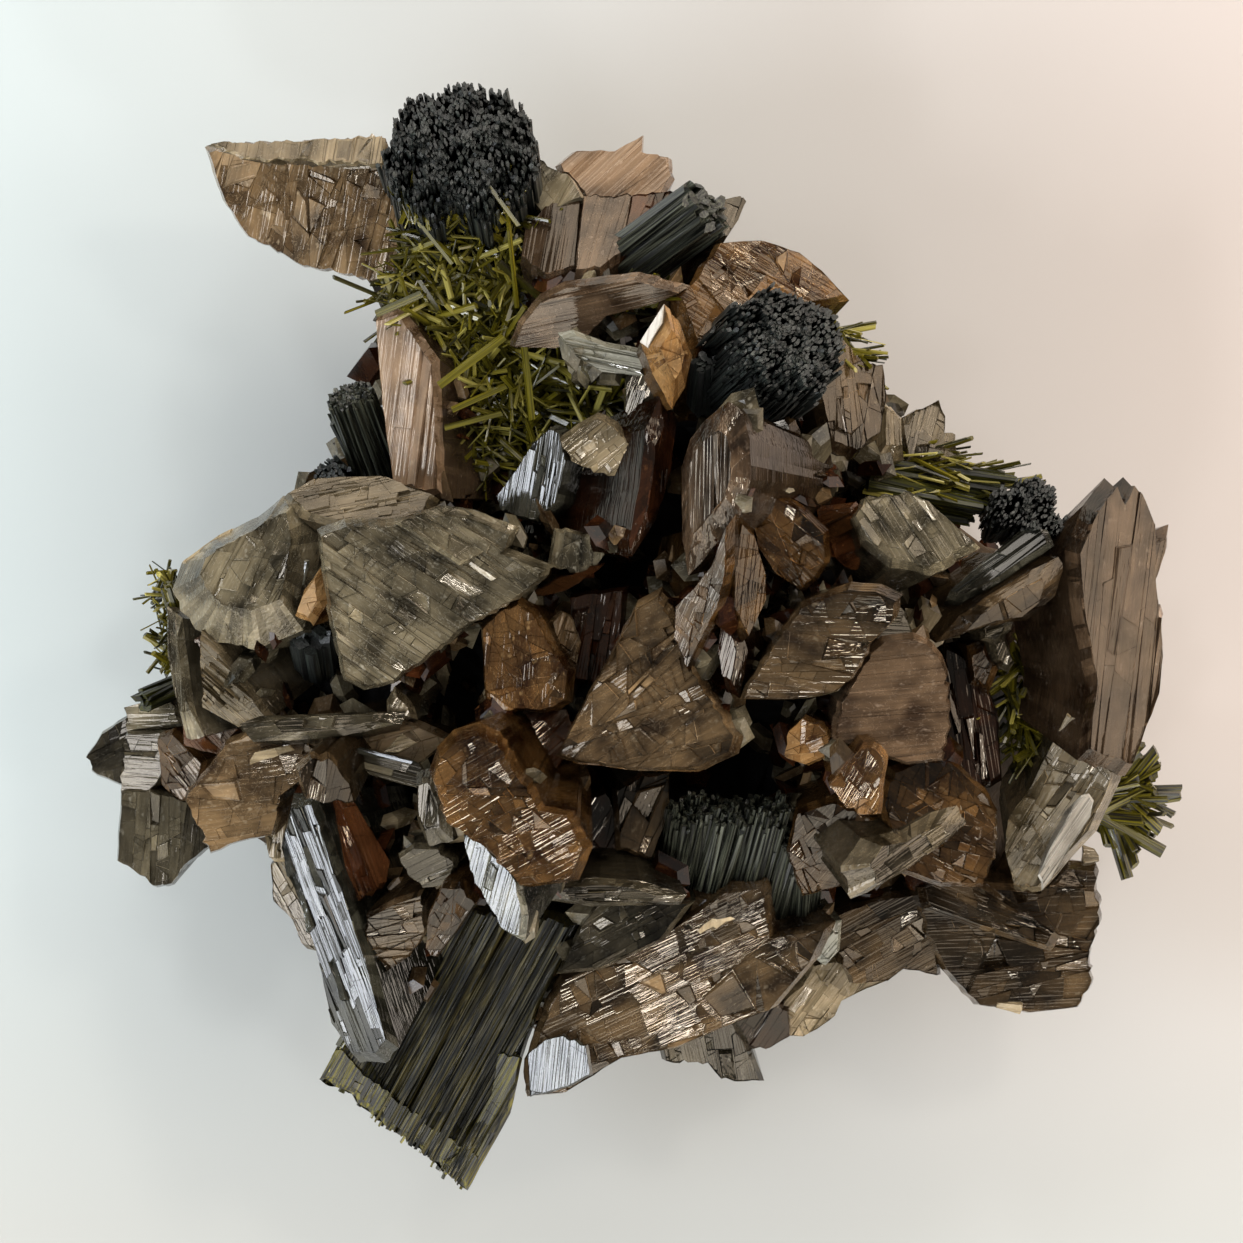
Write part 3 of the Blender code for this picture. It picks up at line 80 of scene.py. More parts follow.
# Each blade: its name, its look, the angle of its striae, how light it is from 0 to 1, the height of its
# face at its crest, its dip and heading, how thick it is over and under its knife edge, its crest, the
# share of it that its top face takes, and its knife edge seen from above.
BLADES = [
    # Back and upper left
    ("wing_back_left", "mauve", 78, 0.68, 24, (13, 225), (1.8, 3.4), (32, 19), 0.74, [
        (20.3, 14.5), (25.2, 14.1), (38.5, 13.7), (40.6, 21), (40.4, 29.2), (36.6, 27.8), (29.8, 26.3),
        (24.6, 23.5), (22.1, 19.8)]),
    ("column_left_pale", "silk", 80, 0.73, 35, (34, 180), (1.2, 9), (42.6, 40), 0.6, [
        (37.8, 31.2), (40.2, 30.5), (44, 36), (44.6, 49.8), (39.8, 49.8), (38.6, 41)]),
    ("tan_top", "silk", 45, 0.95, 25, (16, 80), (1.2, 5), (62, 17.4), 0.66, [
        (55.5, 16.5), (57.2, 15.1), (61.4, 15.1), (64.4, 13.4), (64.3, 15.2), (67.2, 15.8), (67.5, 17.8),
        (66.2, 19.8), (59, 21)]),
    ("slope_left_of_fan", "taupe", 60, 0.83, 31, (25, 120), (1.2, 8), (55.6, 19), 0.6, [
        (53.5, 15.8), (57, 17.6), (58.6, 20.2), (54.5, 21.8), (52.6, 20)]),
    ("fan_dark", "silk", 85, 0.24, 34, (34, 95), (1.2, 9), (54.6, 24.6), 0.62, [
        (52, 26.4), (52.4, 23.4), (54.5, 21), (58.4, 19.8), (57.8, 27.6), (54.6, 28.4)]),
    ("fan_pale", "silk", 80, 0.38, 36, (38, 92), (1.2, 9), (60.4, 24.6), 0.62, [
        (58.2, 19.8), (63.4, 19.8), (62.2, 26.2), (60, 27.8), (57.4, 28)]),
    ("fan_right", "red", 70, 0.86, 34, (34, 75), (1.2, 8), (64, 22.6), 0.6, [
        (63, 19.9), (69.2, 19.4), (66.5, 22.8), (64, 25), (61.8, 26.8)]),
    ("arch_blade", "silk", 20, 0.4, 43, (30, 252), (1.3, 9), (59, 29.6), 0.62, [
        (51, 34.6), (51.8, 32.2), (54, 29.5), (56.5, 28.2), (64, 27.3), (69, 28.7), (66.5, 29.8),
        (61, 31.2), (59, 33.4), (55.5, 34.7)]),
    ("amber_back", "amber", -30, 0.51, 41, (20, 55), (1.6, 11), (74.6, 28.8), 0.66, [
        (67, 30), (69, 28.4), (71.5, 24.5), (76, 24.2), (80, 25.5), (82.5, 27.5), (84.9, 30.1),
        (80, 31.2), (76.5, 32), (72, 35.8), (69.4, 36)]),
    ("blade_by_column", "taupe", 60, 0.13, 38, (30, 40), (0.8, 15), (72.8, 21.4), 0.55, [
        (71.6, 20.2), (73.8, 19.7), (74.4, 20.4), (73.6, 22.4), (72.4, 24.2), (71, 24)]),
    ("golden_crystal", "amber", 80, 0.77, 51, (12, 320), (3.2, 12), (66.8, 34.6), 0.34, [
        (66.4, 30.6), (67.8, 32.2), (69.2, 35.7), (68.5, 38.8), (67.2, 41), (65.5, 38), (64, 34.4)]),
    ("golden_crystal_foot", "taupe", 70, 0.2, 45, (20, 250), (1.2, 9), (64.9, 39.4), 0.55, [
        (64.2, 35.6), (66.6, 38.4), (67.4, 41), (66.2, 44), (63.8, 43.6), (62.4, 41), (62.5, 38)]),
    ("silver_blade", "silver", -15, 0.95, 47.5, (24, 285), (1.1, 7), (60.6, 35.4), 0.62, [
        (55.8, 33.4), (57.3, 33.1), (60.5, 34.3), (64.2, 35), (64.6, 37.4), (60, 37), (57.3, 35.4)]),
    # Back and upper right
    ("block_right_top", "mauve", 85, 0.15, 38, (36, 35), (1.5, 12), (84.6, 40), 0.66, [
        (83.5, 34), (86, 36.8), (87.8, 36.7), (88.2, 40), (87.6, 44), (85, 46), (82.3, 45), (81, 40)]),
    ("fin_right_back", "pale", 80, 0.4, 33, (34, 30), (1, 8), (88.8, 43), 0.5, [
        (87.8, 39.6), (90.2, 41.8), (90.4, 46), (87.6, 46)]),
    ("tan_right_back", "pale", 70, 0.23, 30, (22, 50), (1.2, 8), (92.2, 43.4), 0.62, [
        (89.8, 41.9), (93.8, 40), (94.5, 41.8), (94.4, 43.6), (95.6, 43.8), (95.7, 46.4), (90.4, 46.4)]),
    ("amber_behind_silver", "mauve", 20, 0.13, 42, (28, 200), (1.4, 10), (78.6, 45.4), 0.6, [
        (75.4, 42.6), (79, 41.4), (81.2, 45), (82.7, 47.6), (80, 49), (77, 49), (75.2, 46)]),
    ("silver_facet", "taupe", -60, 0.54, 45, (13, 95), (2.4, 10), (91, 53.6), 0.6, [
        (85, 52), (86, 50), (91, 49.4), (93, 50.4), (96.2, 53.4), (97.9, 54.8), (93, 57.6), (88.5, 56.6),
        (86, 54.6)]),
    ("silver_facet_side", "red", 30, 0.95, 42, (26, 220), (1.2, 9), (84.2, 52.6), 0.6, [
        (81.8, 50.6), (85.5, 50.2), (87.6, 54.6), (85.6, 57), (82, 54.6)]),
    ("grey_bar_upper", "silver", 38, 0.17, 42, (26, 120), (1.2, 8), (100.4, 56.8), 0.56, [
        (94.6, 59.8), (98.5, 56.4), (102.2, 53.3), (104.6, 53), (105.3, 54.6), (100, 58.2), (96.2, 60.2)]),
    ("grey_bar_lower", "mauve", 38, 0.13, 42, (30, 305), (1.2, 8), (100.4, 60), 0.5, [
        (93.5, 64.3), (95.8, 61.6), (98.5, 59.7), (103, 57), (105.7, 55.7), (106.2, 57), (105.4, 59.6),
        (102.6, 62), (98.4, 62.6)]),
    ("bone_upper", "taupe", 20, 0.13, 40, (20, 240), (0.9, 8), (99.6, 62.6), 0.5, [
        (97.8, 62.6), (100, 60.8), (101.4, 61.6), (101, 63), (99.4, 64.6), (98, 64)]),
    ("bone_lower", "taupe", 70, 0.13, 38, (20, 330), (0.9, 8), (100, 65.2), 0.5, [
        (98.8, 63.6), (100.2, 63.4), (101.4, 66.2), (100.8, 67.2), (99.2, 66)]),
    ("amber_leaf", "amber", 60, 0.13, 37, (18, 250), (1, 9), (98.2, 66.4), 0.5, [
        (96.6, 64.6), (98.5, 63.8), (100, 66.4), (98.8, 69.6), (97, 68.4)]),
    ("maroon_behind_right", "red", -80, 0.13, 35, (12, 350), (1.2, 12), (96.4, 71.4), 0.6, [
        (94.2, 64.2), (97.8, 66), (99.8, 71), (100.2, 78), (96, 80), (94, 72)]),
    ("right_wing_upper", "silk", 80, 0.13, 38, (28, 12), (2, 5.5), (110.6, 63), 0.7, [
        (106.4, 55), (108.3, 50.5), (110.4, 47.8), (111.3, 49.8), (112.3, 47.7), (113.5, 49.4),
        (114.6, 52), (114.8, 58), (115.7, 66), (115.3, 70), (112.4, 77.6), (107.6, 76), (108.6, 69),
        (107, 61)]),
    ("right_wing_lower", "pale", 55, 0.24, 35, (20, 215), (2.2, 6), (106.4, 79), 0.6, [
        (107.4, 70), (112.6, 73), (112, 78), (109.7, 83), (104.2, 89.1), (101.5, 89), (100.6, 85),
        (101, 81.5), (103.5, 78)]),
    ("wing_sliver", "silk", 70, 0.3, 29, (34, 10), (1.2, 9), (114.6, 56.4), 0.5, [
        (111.6, 56), (114.4, 53.8), (117, 52.4), (116.8, 54.6), (115.9, 57.4), (114.9, 60), (111.4, 61)]),
    ("wing_sliver_low", "silk", 70, 0.95, 27, (34, 0), (1.2, 9), (114, 63), 0.5, [
        (111.4, 63), (116.2, 60.4), (116.5, 61.4), (115.8, 63.6), (114.6, 66), (111.2, 67)]),
    # Centre
    ("centre_tall", "silk", 85, 0.2, 54, (38, 188), (1.4, 18), (72.2, 47), 0.5, [
        (72.8, 40.3), (74.2, 41.4), (74.9, 44), (75, 48), (74, 51.5), (71.8, 54.2), (68.8, 57.6),
        (68.2, 54), (68.1, 47), (69, 44), (70.6, 42)]),
    ("golden_pair_left", "amber", 60, 0.13, 53, (28, 205), (1.4, 16), (71, 59.6), 0.52, [
        (73.5, 51.5), (71.8, 56), (70, 58.3), (67.8, 60.5), (67.6, 64), (69, 67.4), (70.6, 64),
        (72.4, 60.6), (73.4, 56.5)]),
    ("golden_pair_right", "amber", 85, 0.13, 52, (24, 345), (1.4, 15), (74.2, 57.4), 0.52, [
        (73.5, 51.7), (74.9, 53), (76.1, 57), (76.2, 60.2), (74.2, 64.2), (72.7, 61), (72.7, 56)]),
    ("dark_tip", "red", 70, 0.13, 50, (30, 190), (1, 14), (73.2, 65), 0.5, [
        (72.2, 60.8), (73.6, 61.8), (74.7, 65), (73.9, 69.8), (72.6, 69.2), (71.7, 65)]),
    ("dark_standing_slab", "red", 80, 0.29, 48, (44, 355), (0.9, 16), (65.4, 47), 0.5, [
        (66, 39.6), (67.7, 42), (67, 47), (65.6, 52), (63.2, 55.7), (62.9, 54), (64, 48), (64.5, 43)]),
    ("amber_mid", "amber", -45, 0.23, 47.5, (12, 245), (2.2, 12), (79.2, 53), 0.56, [
        (75, 50.2), (77.5, 49.1), (80, 50.4), (82.8, 53), (83, 55.6), (81.8, 57.8), (80.2, 59.2),
        (77.4, 57.2), (75.5, 54.4)]),
    ("shell_centre", "mauve", 0, 0.25, 51, (11, 250), (1.8, 12), (82, 64.4), 0.68, [
        (73.8, 69.9), (76.5, 65.4), (79, 61.6), (80, 60.2), (83, 58.9), (85, 58.2), (88, 58.4),
        (90.2, 59.4), (89.6, 61.6), (87.3, 64), (85.2, 67.8), (83.5, 69.1), (79.6, 69.9)]),
    ("rounded_right", "silk", 5, 0.41, 47, (9, 300), (1.8, 22), (89.6, 69.4), 0.7, [
        (83, 74), (83.6, 70), (85.2, 67.2), (86.6, 64.8), (88, 63.6), (91.2, 63.2), (92.6, 63.8),
        (94.1, 65.5), (94.8, 69), (94.8, 73), (94.2, 76), (90.5, 76.4)]),
    ("small_golden", "amber", 60, 0.41, 50, (16, 240), (1.4, 10), (85.8, 77.4), 0.6, [
        (82.7, 78.1), (84, 76.4), (86.2, 74.1), (87.9, 74.4), (88.7, 75.6), (88.2, 78.6), (88, 81.3),
        (86.4, 81.4), (84.4, 80.2)]),
    ("golden_round", "amber", 20, 0.67, 46, (14, 200), (1.4, 10), (80.8, 74), 0.6, [
        (78.5, 75.6), (79, 72.8), (80.5, 71.4), (82.3, 72.1), (83.3, 73.6), (82.8, 75.6), (80.8, 76.5)]),
    ("kite_centre", "mauve", 30, 0.36, 48, (14, 205), (1.8, 14), (65.4, 70), 0.7, [
        (55.6, 75.5), (63.8, 60), (66.2, 58.7), (69, 64), (70.6, 68), (74.3, 73.6), (73.8, 75.3),
        (70.5, 76.9), (64, 77), (57.3, 76.1)]),
    ("behind_kite", "red", 80, 0.53, 38, (10, 180), (1.4, 12), (59.8, 63.4), 0.6, [
        (57, 59.4), (62.8, 58.6), (62.4, 64), (60, 69), (57.2, 68)]),
    ("silver_fan_centre", "silver", 75, 0.13, 43.5, (30, 190), (1.3, 12), (55.4, 46.8), 0.6, [
        (49.9, 49.8), (52, 47), (53.8, 44), (55.6, 42.5), (56.8, 43), (57.4, 46), (56.4, 50.4),
        (54, 52.4), (50.4, 51.4)]),
    ("rounded_tan", "pale", 40, 0.35, 45.5, (16, 250), (1.5, 10), (60, 44.4), 0.62, [
        (55.9, 43.8), (58, 42.3), (59.8, 41.3), (61.3, 42), (62.8, 43.5), (64.7, 44.5), (64.9, 46.4),
        (63, 47.6), (59.5, 47.2), (57, 45.9)]),
    ("grey_below_tan", "taupe", 80, 0.8, 41, (18, 250), (1.2, 20), (60.6, 49.4), 0.62, [
        (56.8, 46), (64.8, 46.4), (64.2, 51.8), (61, 53), (56, 52.4)]),
    ("tan_square", "taupe", 85, 0.54, 44, (12, 280), (1.2, 10), (57.8, 54.8), 0.68, [
        (55.4, 52.8), (60.4, 53.4), (60.6, 55.3), (59.8, 56.4), (57.5, 57.2), (54.8, 56.4)]),
    # Left
    ("big_axe", "taupe", -35, 0.43, 46, (10, 235), (2.4, 11), (42.4, 58.4), 0.72, [
        (31.8, 53), (34.5, 51.9), (39.5, 51.9), (44, 50.7), (47.5, 51.1), (51.9, 52.8), (50.8, 54.8),
        (55.7, 56.6), (52, 59.9), (47, 62.6), (43, 65.6), (39.5, 68.3), (36.5, 69), (34.4, 68),
        (33.4, 64), (32.4, 58)]),
    ("axe_upper_plate", "taupe", -35, 0.56, 48.4, (14, 60), (1, 8), (45.6, 53.2), 0.66, [
        (39.6, 52.4), (44, 50.6), (47.5, 51), (52, 52.8), (50.2, 55), (46, 56.6)]),
    ("crest_behind_axe", "pale", 10, 0.29, 40, (32, 100), (1.2, 9), (36.4, 50.6), 0.6, [
        (28.4, 49.8), (31.5, 48.2), (38.2, 48), (44, 50), (43, 52), (39.5, 53), (34, 53), (30, 51.8)]),
    ("left_dome", "taupe", 62, 0.52, 37, (20, 155), (3.6, 8), (27.4, 56.6), 0.5, [
        (17.2, 59), (18.2, 56.2), (20.5, 54.5), (25.8, 51.7), (28.3, 49.6), (31.4, 48.6), (32.4, 53),
        (31.6, 58), (30.4, 63), (25.5, 65), (20.5, 63.8), (18.4, 61.4)]),
    ("golden_wedge", "amber", 40, 0.93, 42, (30, 220), (1.2, 9), (31.2, 59.6), 0.5, [
        (32.6, 56.2), (33, 60), (31.4, 62.6), (29.6, 61.6), (30.5, 59)]),
    ("left_fin_long", "taupe", -85, 0.56, 31, (44, 182), (0.9, 8), (18.4, 67), 0.5, [
        (16.7, 60.6), (18.2, 61.8), (19.4, 70.6), (20.4, 73.6), (18.6, 73.8), (17.4, 69), (16.6, 64)]),
    ("left_fin_triangle", "pale", -47, 0.27, 34, (38, 235), (1, 9), (22.4, 68.4), 0.62, [
        (20.2, 63), (22.2, 64.6), (27.4, 71.6), (24.4, 72.6), (20.4, 70.4)]),
    ("behind_fins", "red", -47, 0.95, 28, (24, 215), (1.4, 9), (21, 70.6), 0.6, [
        (17.8, 62.6), (21, 63), (24.6, 72.6), (22.4, 75.6), (18.6, 74.6)]),
    ("far_left_plate", "taupe", 0, 0.71, 19, (20, 170), (1, 6), (14.8, 71.4), 0.6, [
        (12.2, 70.8), (17.2, 69.4), (18.4, 72.6), (12.6, 73.4)]),
    ("far_left_fan", "taupe", 20, 0.2, 15, (16, 190), (1, 4), (11.6, 75.6), 0.55, [
        (8.2, 75.8), (9.2, 74.4), (9.9, 73.2), (12.6, 71.5), (13.6, 75), (12.8, 79), (11.2, 78.4),
        (8.8, 77.2)]),
    ("far_left_bars", "taupe", 0, 0.13, 20, (22, 200), (1, 6), (14.4, 76), 0.66, [
        (12.1, 76), (12.5, 73.2), (16.4, 73), (16.8, 77), (15, 79.6), (12, 79.3)]),
    ("ridged_left", "amber", -50, 0.25, 23, (26, 215), (1.2, 7), (18, 76.6), 0.6, [
        (15.8, 73.4), (17.4, 72.8), (20.6, 76), (20, 79), (18.4, 80.2), (16.2, 78.4)]),
    ("left_slab", "mauve", 8, 0.51, 32, (13, 235), (1.8, 7), (24.8, 78), 0.72, [
        (18.4, 79.6), (20.5, 77), (22.5, 74), (25, 72.8), (30, 73), (33.4, 75), (31, 77.4), (28.4, 79.4),
        (27.5, 83.5), (24, 84.2), (21, 85.4), (19.4, 82)]),
    ("left_slab_arm", "mauve", 8, 0.95, 34, (18, 280), (1.2, 9), (36, 73.8), 0.6, [
        (29.8, 73), (40.5, 71.4), (45.6, 73.6), (42, 76.4), (38, 76.2), (31, 76.8)]),
    ("left_thin_bar", "taupe", 2, 0.24, 37.4, (20, 95), (0.8, 5), (32.6, 72.6), 0.5, [
        (24, 72.4), (26, 71.6), (33, 71.3), (40.6, 71.1), (40.2, 72.4), (33, 73.8), (25.4, 74.2)]),
    ("lower_left_block", "taupe", 85, 0.13, 19, (12, 235), (1.6, 5), (16, 82.8), 0.7, [
        (11.8, 79), (15, 78.4), (17.5, 79.2), (19.8, 80), (20.8, 83), (21.2, 84.6), (18.6, 86.6),
        (17.2, 88.6), (15.5, 88.9), (12.9, 87), (11.4, 86.2)]),
    ("tip_in_hollow", "pale", 60, 0.49, 36, (20, 260), (0.9, 9), (40, 70.4), 0.5, [
        (38.7, 70), (39.5, 68.6), (41, 70), (41.8, 72), (38.8, 72)]),
    ("brown_shell", "amber", 85, 0.43, 42.5, (11, 230), (2.4, 12), (52.6, 64.6), 0.56, [
        (48.1, 62.4), (50, 60.4), (52, 59.6), (53.7, 60.5), (56, 65), (57.6, 67), (57.3, 70.2),
        (56, 71), (50.5, 71.4), (48.6, 70)]),
    ("brown_shell_side", "mauve", 70, 0.62, 40, (24, 20), (1, 10), (56.4, 63.8), 0.55, [
        (54.8, 62.2), (56, 61), (57, 61.8), (57.9, 64.5), (57.4, 66.8), (55.8, 66)]),
    ("maroon_by_amber", "red", 40, 0.75, 40, (20, 30), (1.2, 11), (53.4, 73.8), 0.6, [
        (50, 71.4), (56.6, 70.8), (57.6, 74), (54.4, 79), (51.6, 75)]),
    # Lower left
    ("amber_big", "amber", 30, 0.26, 50, (13, 245), (2.8, 14), (50.4, 80), 0.62, [
        (43, 77), (43.8, 74.6), (45.5, 72.9), (48, 72.1), (50.1, 73.1), (54.6, 80.5), (57.6, 80.9),
        (59.3, 84.5), (57.9, 87.9), (52.5, 88.6), (49, 84.7), (44.5, 81.7)]),
    ("green_grey_edge", "taupe", 80, 0.13, 44, (30, 190), (0.9, 9), (43, 80.4), 0.5, [
        (41.7, 77.2), (43.4, 76.6), (45, 80), (45.4, 84), (43, 84.6), (41.8, 82)]),
    ("silver_blade_low", "silver", 70, 0.67, 49, (25, 196), (1.1, 9), (49.8, 87.4), 0.6, [
        (46.6, 82.9), (48, 83), (50.5, 85.6), (52.3, 88), (52.9, 91.5), (52.6, 93.9), (51, 93.2),
        (49.1, 90), (47.3, 86.5)]),
    ("small_upper_left", "taupe", 30, 0.18, 42, (22, 240), (1.2, 16), (43, 86), 0.55, [
        (39.9, 85.3), (41.5, 84.2), (44.2, 84.2), (46, 86), (45.4, 88.2), (42.5, 88.6), (40.8, 87.2)]),
    ("olive_gold", "amber", 60, 0.13, 43, (26, 235), (1.2, 9), (45, 91.4), 0.55, [
        (42.7, 94.6), (43, 91), (44.5, 87.9), (46.6, 87.9), (48.2, 89.6), (46, 92.8), (43.8, 95.6)]),
    ("mauve_banded", "mauve", 15, 0.13, 37, (22, 250), (1.2, 10), (39.8, 92.4), 0.62, [
        (36.6, 91.4), (39.5, 89.8), (42.5, 88.8), (42.8, 93), (41, 95.6), (38, 97.6), (36.6, 96)]),
    ("reddish_slab", "red", -70, 0.84, 35, (28, 20), (1.1, 10), (36, 84.6), 0.6, [
        (32.6, 79.6), (34.6, 79.6), (37.2, 84), (38.7, 86.6), (38.3, 88.8), (35.5, 90.6), (34, 87)]),
    ("mauve_block", "mauve", 80, 0.16, 40, (22, 280), (1.1, 9), (32.6, 77.6), 0.6, [
        (29.5, 76.6), (31, 75.2), (33.2, 75.4), (35.1, 78), (35.6, 80), (33.2, 80), (30.4, 79.6)]),
    ("silver_bar_left", "silver", -70, 0.13, 36, (26, 205), (1.6, 8), (33.8, 92), 0.62, [
        (28.3, 83.6), (29.4, 79.3), (31.6, 79), (33.6, 84.5), (35.7, 90.5), (37.4, 95.5), (39.9, 104.8),
        (38.6, 106.3), (36, 106.3), (33.8, 103), (32.4, 96), (30.6, 90), (28.8, 86)]),
    ("rim_left_low", "pale", -60, 0.13, 24, (26, 200), (1, 8), (29.4, 88.4), 0.55, [
        (27.1, 86.2), (28.6, 85), (30.6, 87), (32.6, 92), (33, 95.6), (30.6, 95), (29.6, 92.4),
        (27.4, 90.2)]),
    ("pale_edge_left", "pale", 80, 0.53, 27, (26, 190), (0.9, 8), (28.2, 82), 0.55, [
        (26.6, 83.4), (27, 79.8), (28.8, 78.8), (30.2, 83), (29.2, 86.4), (27.3, 86.2)]),
    # Bottom
    ("big_bottom_slab", "mauve", 27, 0.26, 31, (16, 250), (2.2, 9), (67.6, 97.6), 0.74, [
        (52.7, 109.8), (52.4, 106), (54.5, 100), (56, 97.5), (64, 94.4), (70, 90.4), (73, 88.1),
        (76.8, 87.7), (77.8, 93), (83.6, 92.1), (82, 95.6), (77.8, 100.6), (73, 102.4), (68, 104.6),
        (62, 105.8), (56, 109.5)]),
    ("dark_bar", "taupe", 0, 0.13, 41, (16, 280), (0.9, 8), (61, 89), 0.5, [
        (52.6, 88.3), (56, 87.8), (60, 87.7), (64, 88), (68.7, 89.4), (68, 90.4), (59, 90.6),
        (54.5, 89.9)]),
    ("olive_behind_slab", "taupe", 30, 0.13, 34, (10, 200), (1.2, 9), (62.6, 93), 0.6, [
        (55.6, 97.4), (58.2, 92), (60, 90), (69.6, 90), (66.4, 94), (60, 97)]),
    ("fringe_low", "taupe", 100, 0.13, 21, (24, 265), (1, 7), (71.4, 103.8), 0.62, [
        (65.8, 104.4), (70.4, 101.2), (72.6, 100.8), (74.7, 104), (76.5, 108.3), (72.3, 108.1),
        (70.8, 106.3), (66.2, 106.1)]),
    ("red_brown_triangle", "red", 60, 0.13, 20, (24, 285), (1, 7), (76, 102.2), 0.6, [
        (72.6, 101.6), (77, 99.6), (79, 100.8), (79.2, 103.6), (76.6, 105), (74.2, 104.6)]),
    ("serrated_tan", "pale", 55, 0.56, 19, (20, 300), (1.2, 6), (82.4, 99.2), 0.66, [
        (77.2, 103), (78, 100), (80, 98.2), (81.2, 96.2), (84, 95.6), (87.2, 96), (89.6, 97.5),
        (87, 98.6), (84.2, 100), (83.5, 101.6), (81.5, 103.1), (80, 103.9), (77.5, 103.8)]),
    ("bright_leaf", "silver", 60, 0.82, 31, (34, 300), (0.8, 8), (82.8, 94), 0.5, [
        (81.4, 95.8), (82, 93.4), (83.2, 91.8), (84.2, 92), (84, 95), (82.6, 96.6)]),
    ("mauve_back_low", "mauve", 30, 0.14, 23, (18, 285), (1.4, 8), (88.4, 93.4), 0.66, [
        (83.4, 91), (87, 89.6), (92, 88.8), (94, 92), (94.2, 97.6), (90.5, 96.9), (88.8, 98.2),
        (85, 98.4), (83.4, 95)]),
    ("low_grey", "mauve", 80, 0.13, 38, (14, 330), (1.2, 10), (64, 81), 0.6, [
        (61.2, 78.8), (64, 77), (66.9, 77), (67, 81), (65, 86), (61.6, 85)]),
    ("low_maroon", "red", 60, 0.13, 36, (14, 300), (1.2, 10), (60.4, 84), 0.6, [
        (56.8, 80), (60.4, 78.6), (63, 83), (65.4, 88), (60, 89), (58, 85)]),
    # Lower right
    ("amber_skirt", "amber", -30, 0.18, 41, (14, 325), (1.6, 12), (93, 81.4), 0.64, [
        (87.6, 80), (88.8, 76.6), (91.5, 75.4), (95, 75.6), (98.5, 78.8), (99.7, 81), (99.5, 85),
        (98.3, 88.6), (94, 88.6), (89.8, 87.2)]),
    ("amber_low_mid", "amber", 50, 0.13, 39, (22, 240), (1.4, 11), (84, 83.6), 0.6, [
        (79.6, 80.6), (83.5, 79.4), (88.4, 81.6), (90.2, 83), (87, 85.4), (84, 88.6), (80.2, 89.6),
        (78.6, 85)]),
    ("olive_gold_beam", "pale", 30, 0.13, 43, (24, 325), (1.6, 9), (90, 84.9), 0.5, [
        (84, 86.5), (85, 89.8), (86.6, 89.2), (90.5, 87), (94, 84.6), (97.3, 81.8), (95.8, 80.2),
        (93, 81.2), (90, 83), (86, 83.7)]),
    ("lower_right_slab", "mauve", 0, 0.13, 22, (14, 305), (2, 6), (101.6, 93.6), 0.74, [
        (91.4, 90), (92.6, 88.4), (98.5, 88.2), (104, 88.8), (107, 86.1), (109.8, 86.4), (110.4, 91.5),
        (109.2, 95.8), (109.6, 98), (108, 100.9), (103, 101.5), (97.5, 100.6), (94.2, 97), (92, 93)]),
    ("grey_stripe_low_right", "mauve", -20, 0.13, 26, (14, 55), (1, 7), (98.6, 90.6), 0.56, [
        (91.8, 88.8), (94.6, 87.8), (98.6, 88.4), (106.2, 93.8), (105.2, 95.2), (98, 93), (92.4, 91)]),
    # Facets and slivers that lie on the larger blades
    ("wing_rim", "pale", 80, 0.48, 28.5, (32, 80), (0.3, 1.4), (30.5, 15.1), 0.8, [
        (20.5, 14.5), (38.5, 13.7), (38.5, 16.6), (24.5, 15.8)]),
    ("column_side", "red", 80, 0.13, 31, (40, 20), (0.3, 2), (43.1, 35.7), 0.8, [
        (40.2, 30.5), (44, 33), (46, 36), (44.2, 40), (41.2, 39)]),
    # A pale grey facet: a painted sheen of light on the golden crystal.
    ("golden_sheen_facet", "painted_sheen", 80, 0.95, 53.2, (24, 190), (0.2, 1.6), (65.3, 33.1), 0.8, [
        (66.4, 30.6), (64, 34.4), (64.8, 35), (66.2, 32.5)]),
    ("facet_right_foot", "amber", 0, 0.24, 43.5, (35, 280), (0.3, 2), (91.7, 55.4), 0.8, [
        (86, 54.3), (88.5, 53.5), (92.5, 53.9), (97.9, 54.9), (96, 56), (93, 57.5), (91.8, 57.2),
        (88, 55.7)]),
    # A pale grey facet: a painted sheen of light on the wing.
    ("wing_sheen_facet", "painted_sheen", 55, 0.52, 40, (27, -35), (0.2, 1.6), (106.5, 83.5), 0.8, [
        (103.7, 87.5), (104.1, 89), (105, 87.8), (107.2, 84.2), (109, 81.5), (109.3, 80), (108.8, 79.3),
        (108, 79.5), (107.3, 80.3), (106.5, 82), (104.8, 85), (104.2, 86.5)]),
    ("kite_foot", "amber", 0, 0.5, 40, (40, 280), (0.3, 2), (66.5, 75.3), 0.8, [
        (57, 74.6), (64, 74.6), (73.5, 72.8), (74.3, 74), (72, 76), (70, 77), (64, 76.9), (57.3, 76.2)]),
    ("shell_crescent", "pale", 0, 0.5, 48.5, (32, 265), (0.2, 1.6), (82.4, 68.3), 0.8, [
        (79.3, 69), (81.5, 67.5), (83, 66.8), (85, 66.8), (84.8, 68), (83.8, 69), (82, 69.5), (80, 69.8)]),
    ("shell_crown", "taupe", 0, 0.13, 47, (25, 70), (0.3, 2), (85.4, 61.6), 0.8, [
        (79.2, 62), (81.5, 60), (84, 58.8), (88, 58.7), (90.5, 61.2), (91.2, 63.5), (88.5, 64.5), (85, 63),
        (81, 62.5)]),
    ("slab_highlight", "pale", 85, 0.95, 43.5, (18, 60), (0.2, 1.2), (71.1, 92.5), 0.8, [
        (69.7, 93), (71.2, 91.8), (73.5, 91.8), (70, 93.3)]),
    ("front_spark", "silver", 80, 0.13, 31, (26, 190), (0.3, 1.6), (55.9, 106.2), 0.8, [
        (52.7, 105.5), (54.5, 104), (56, 103.6), (58.8, 104.5), (59.3, 107.5), (57, 108.7), (53, 109.8)]),
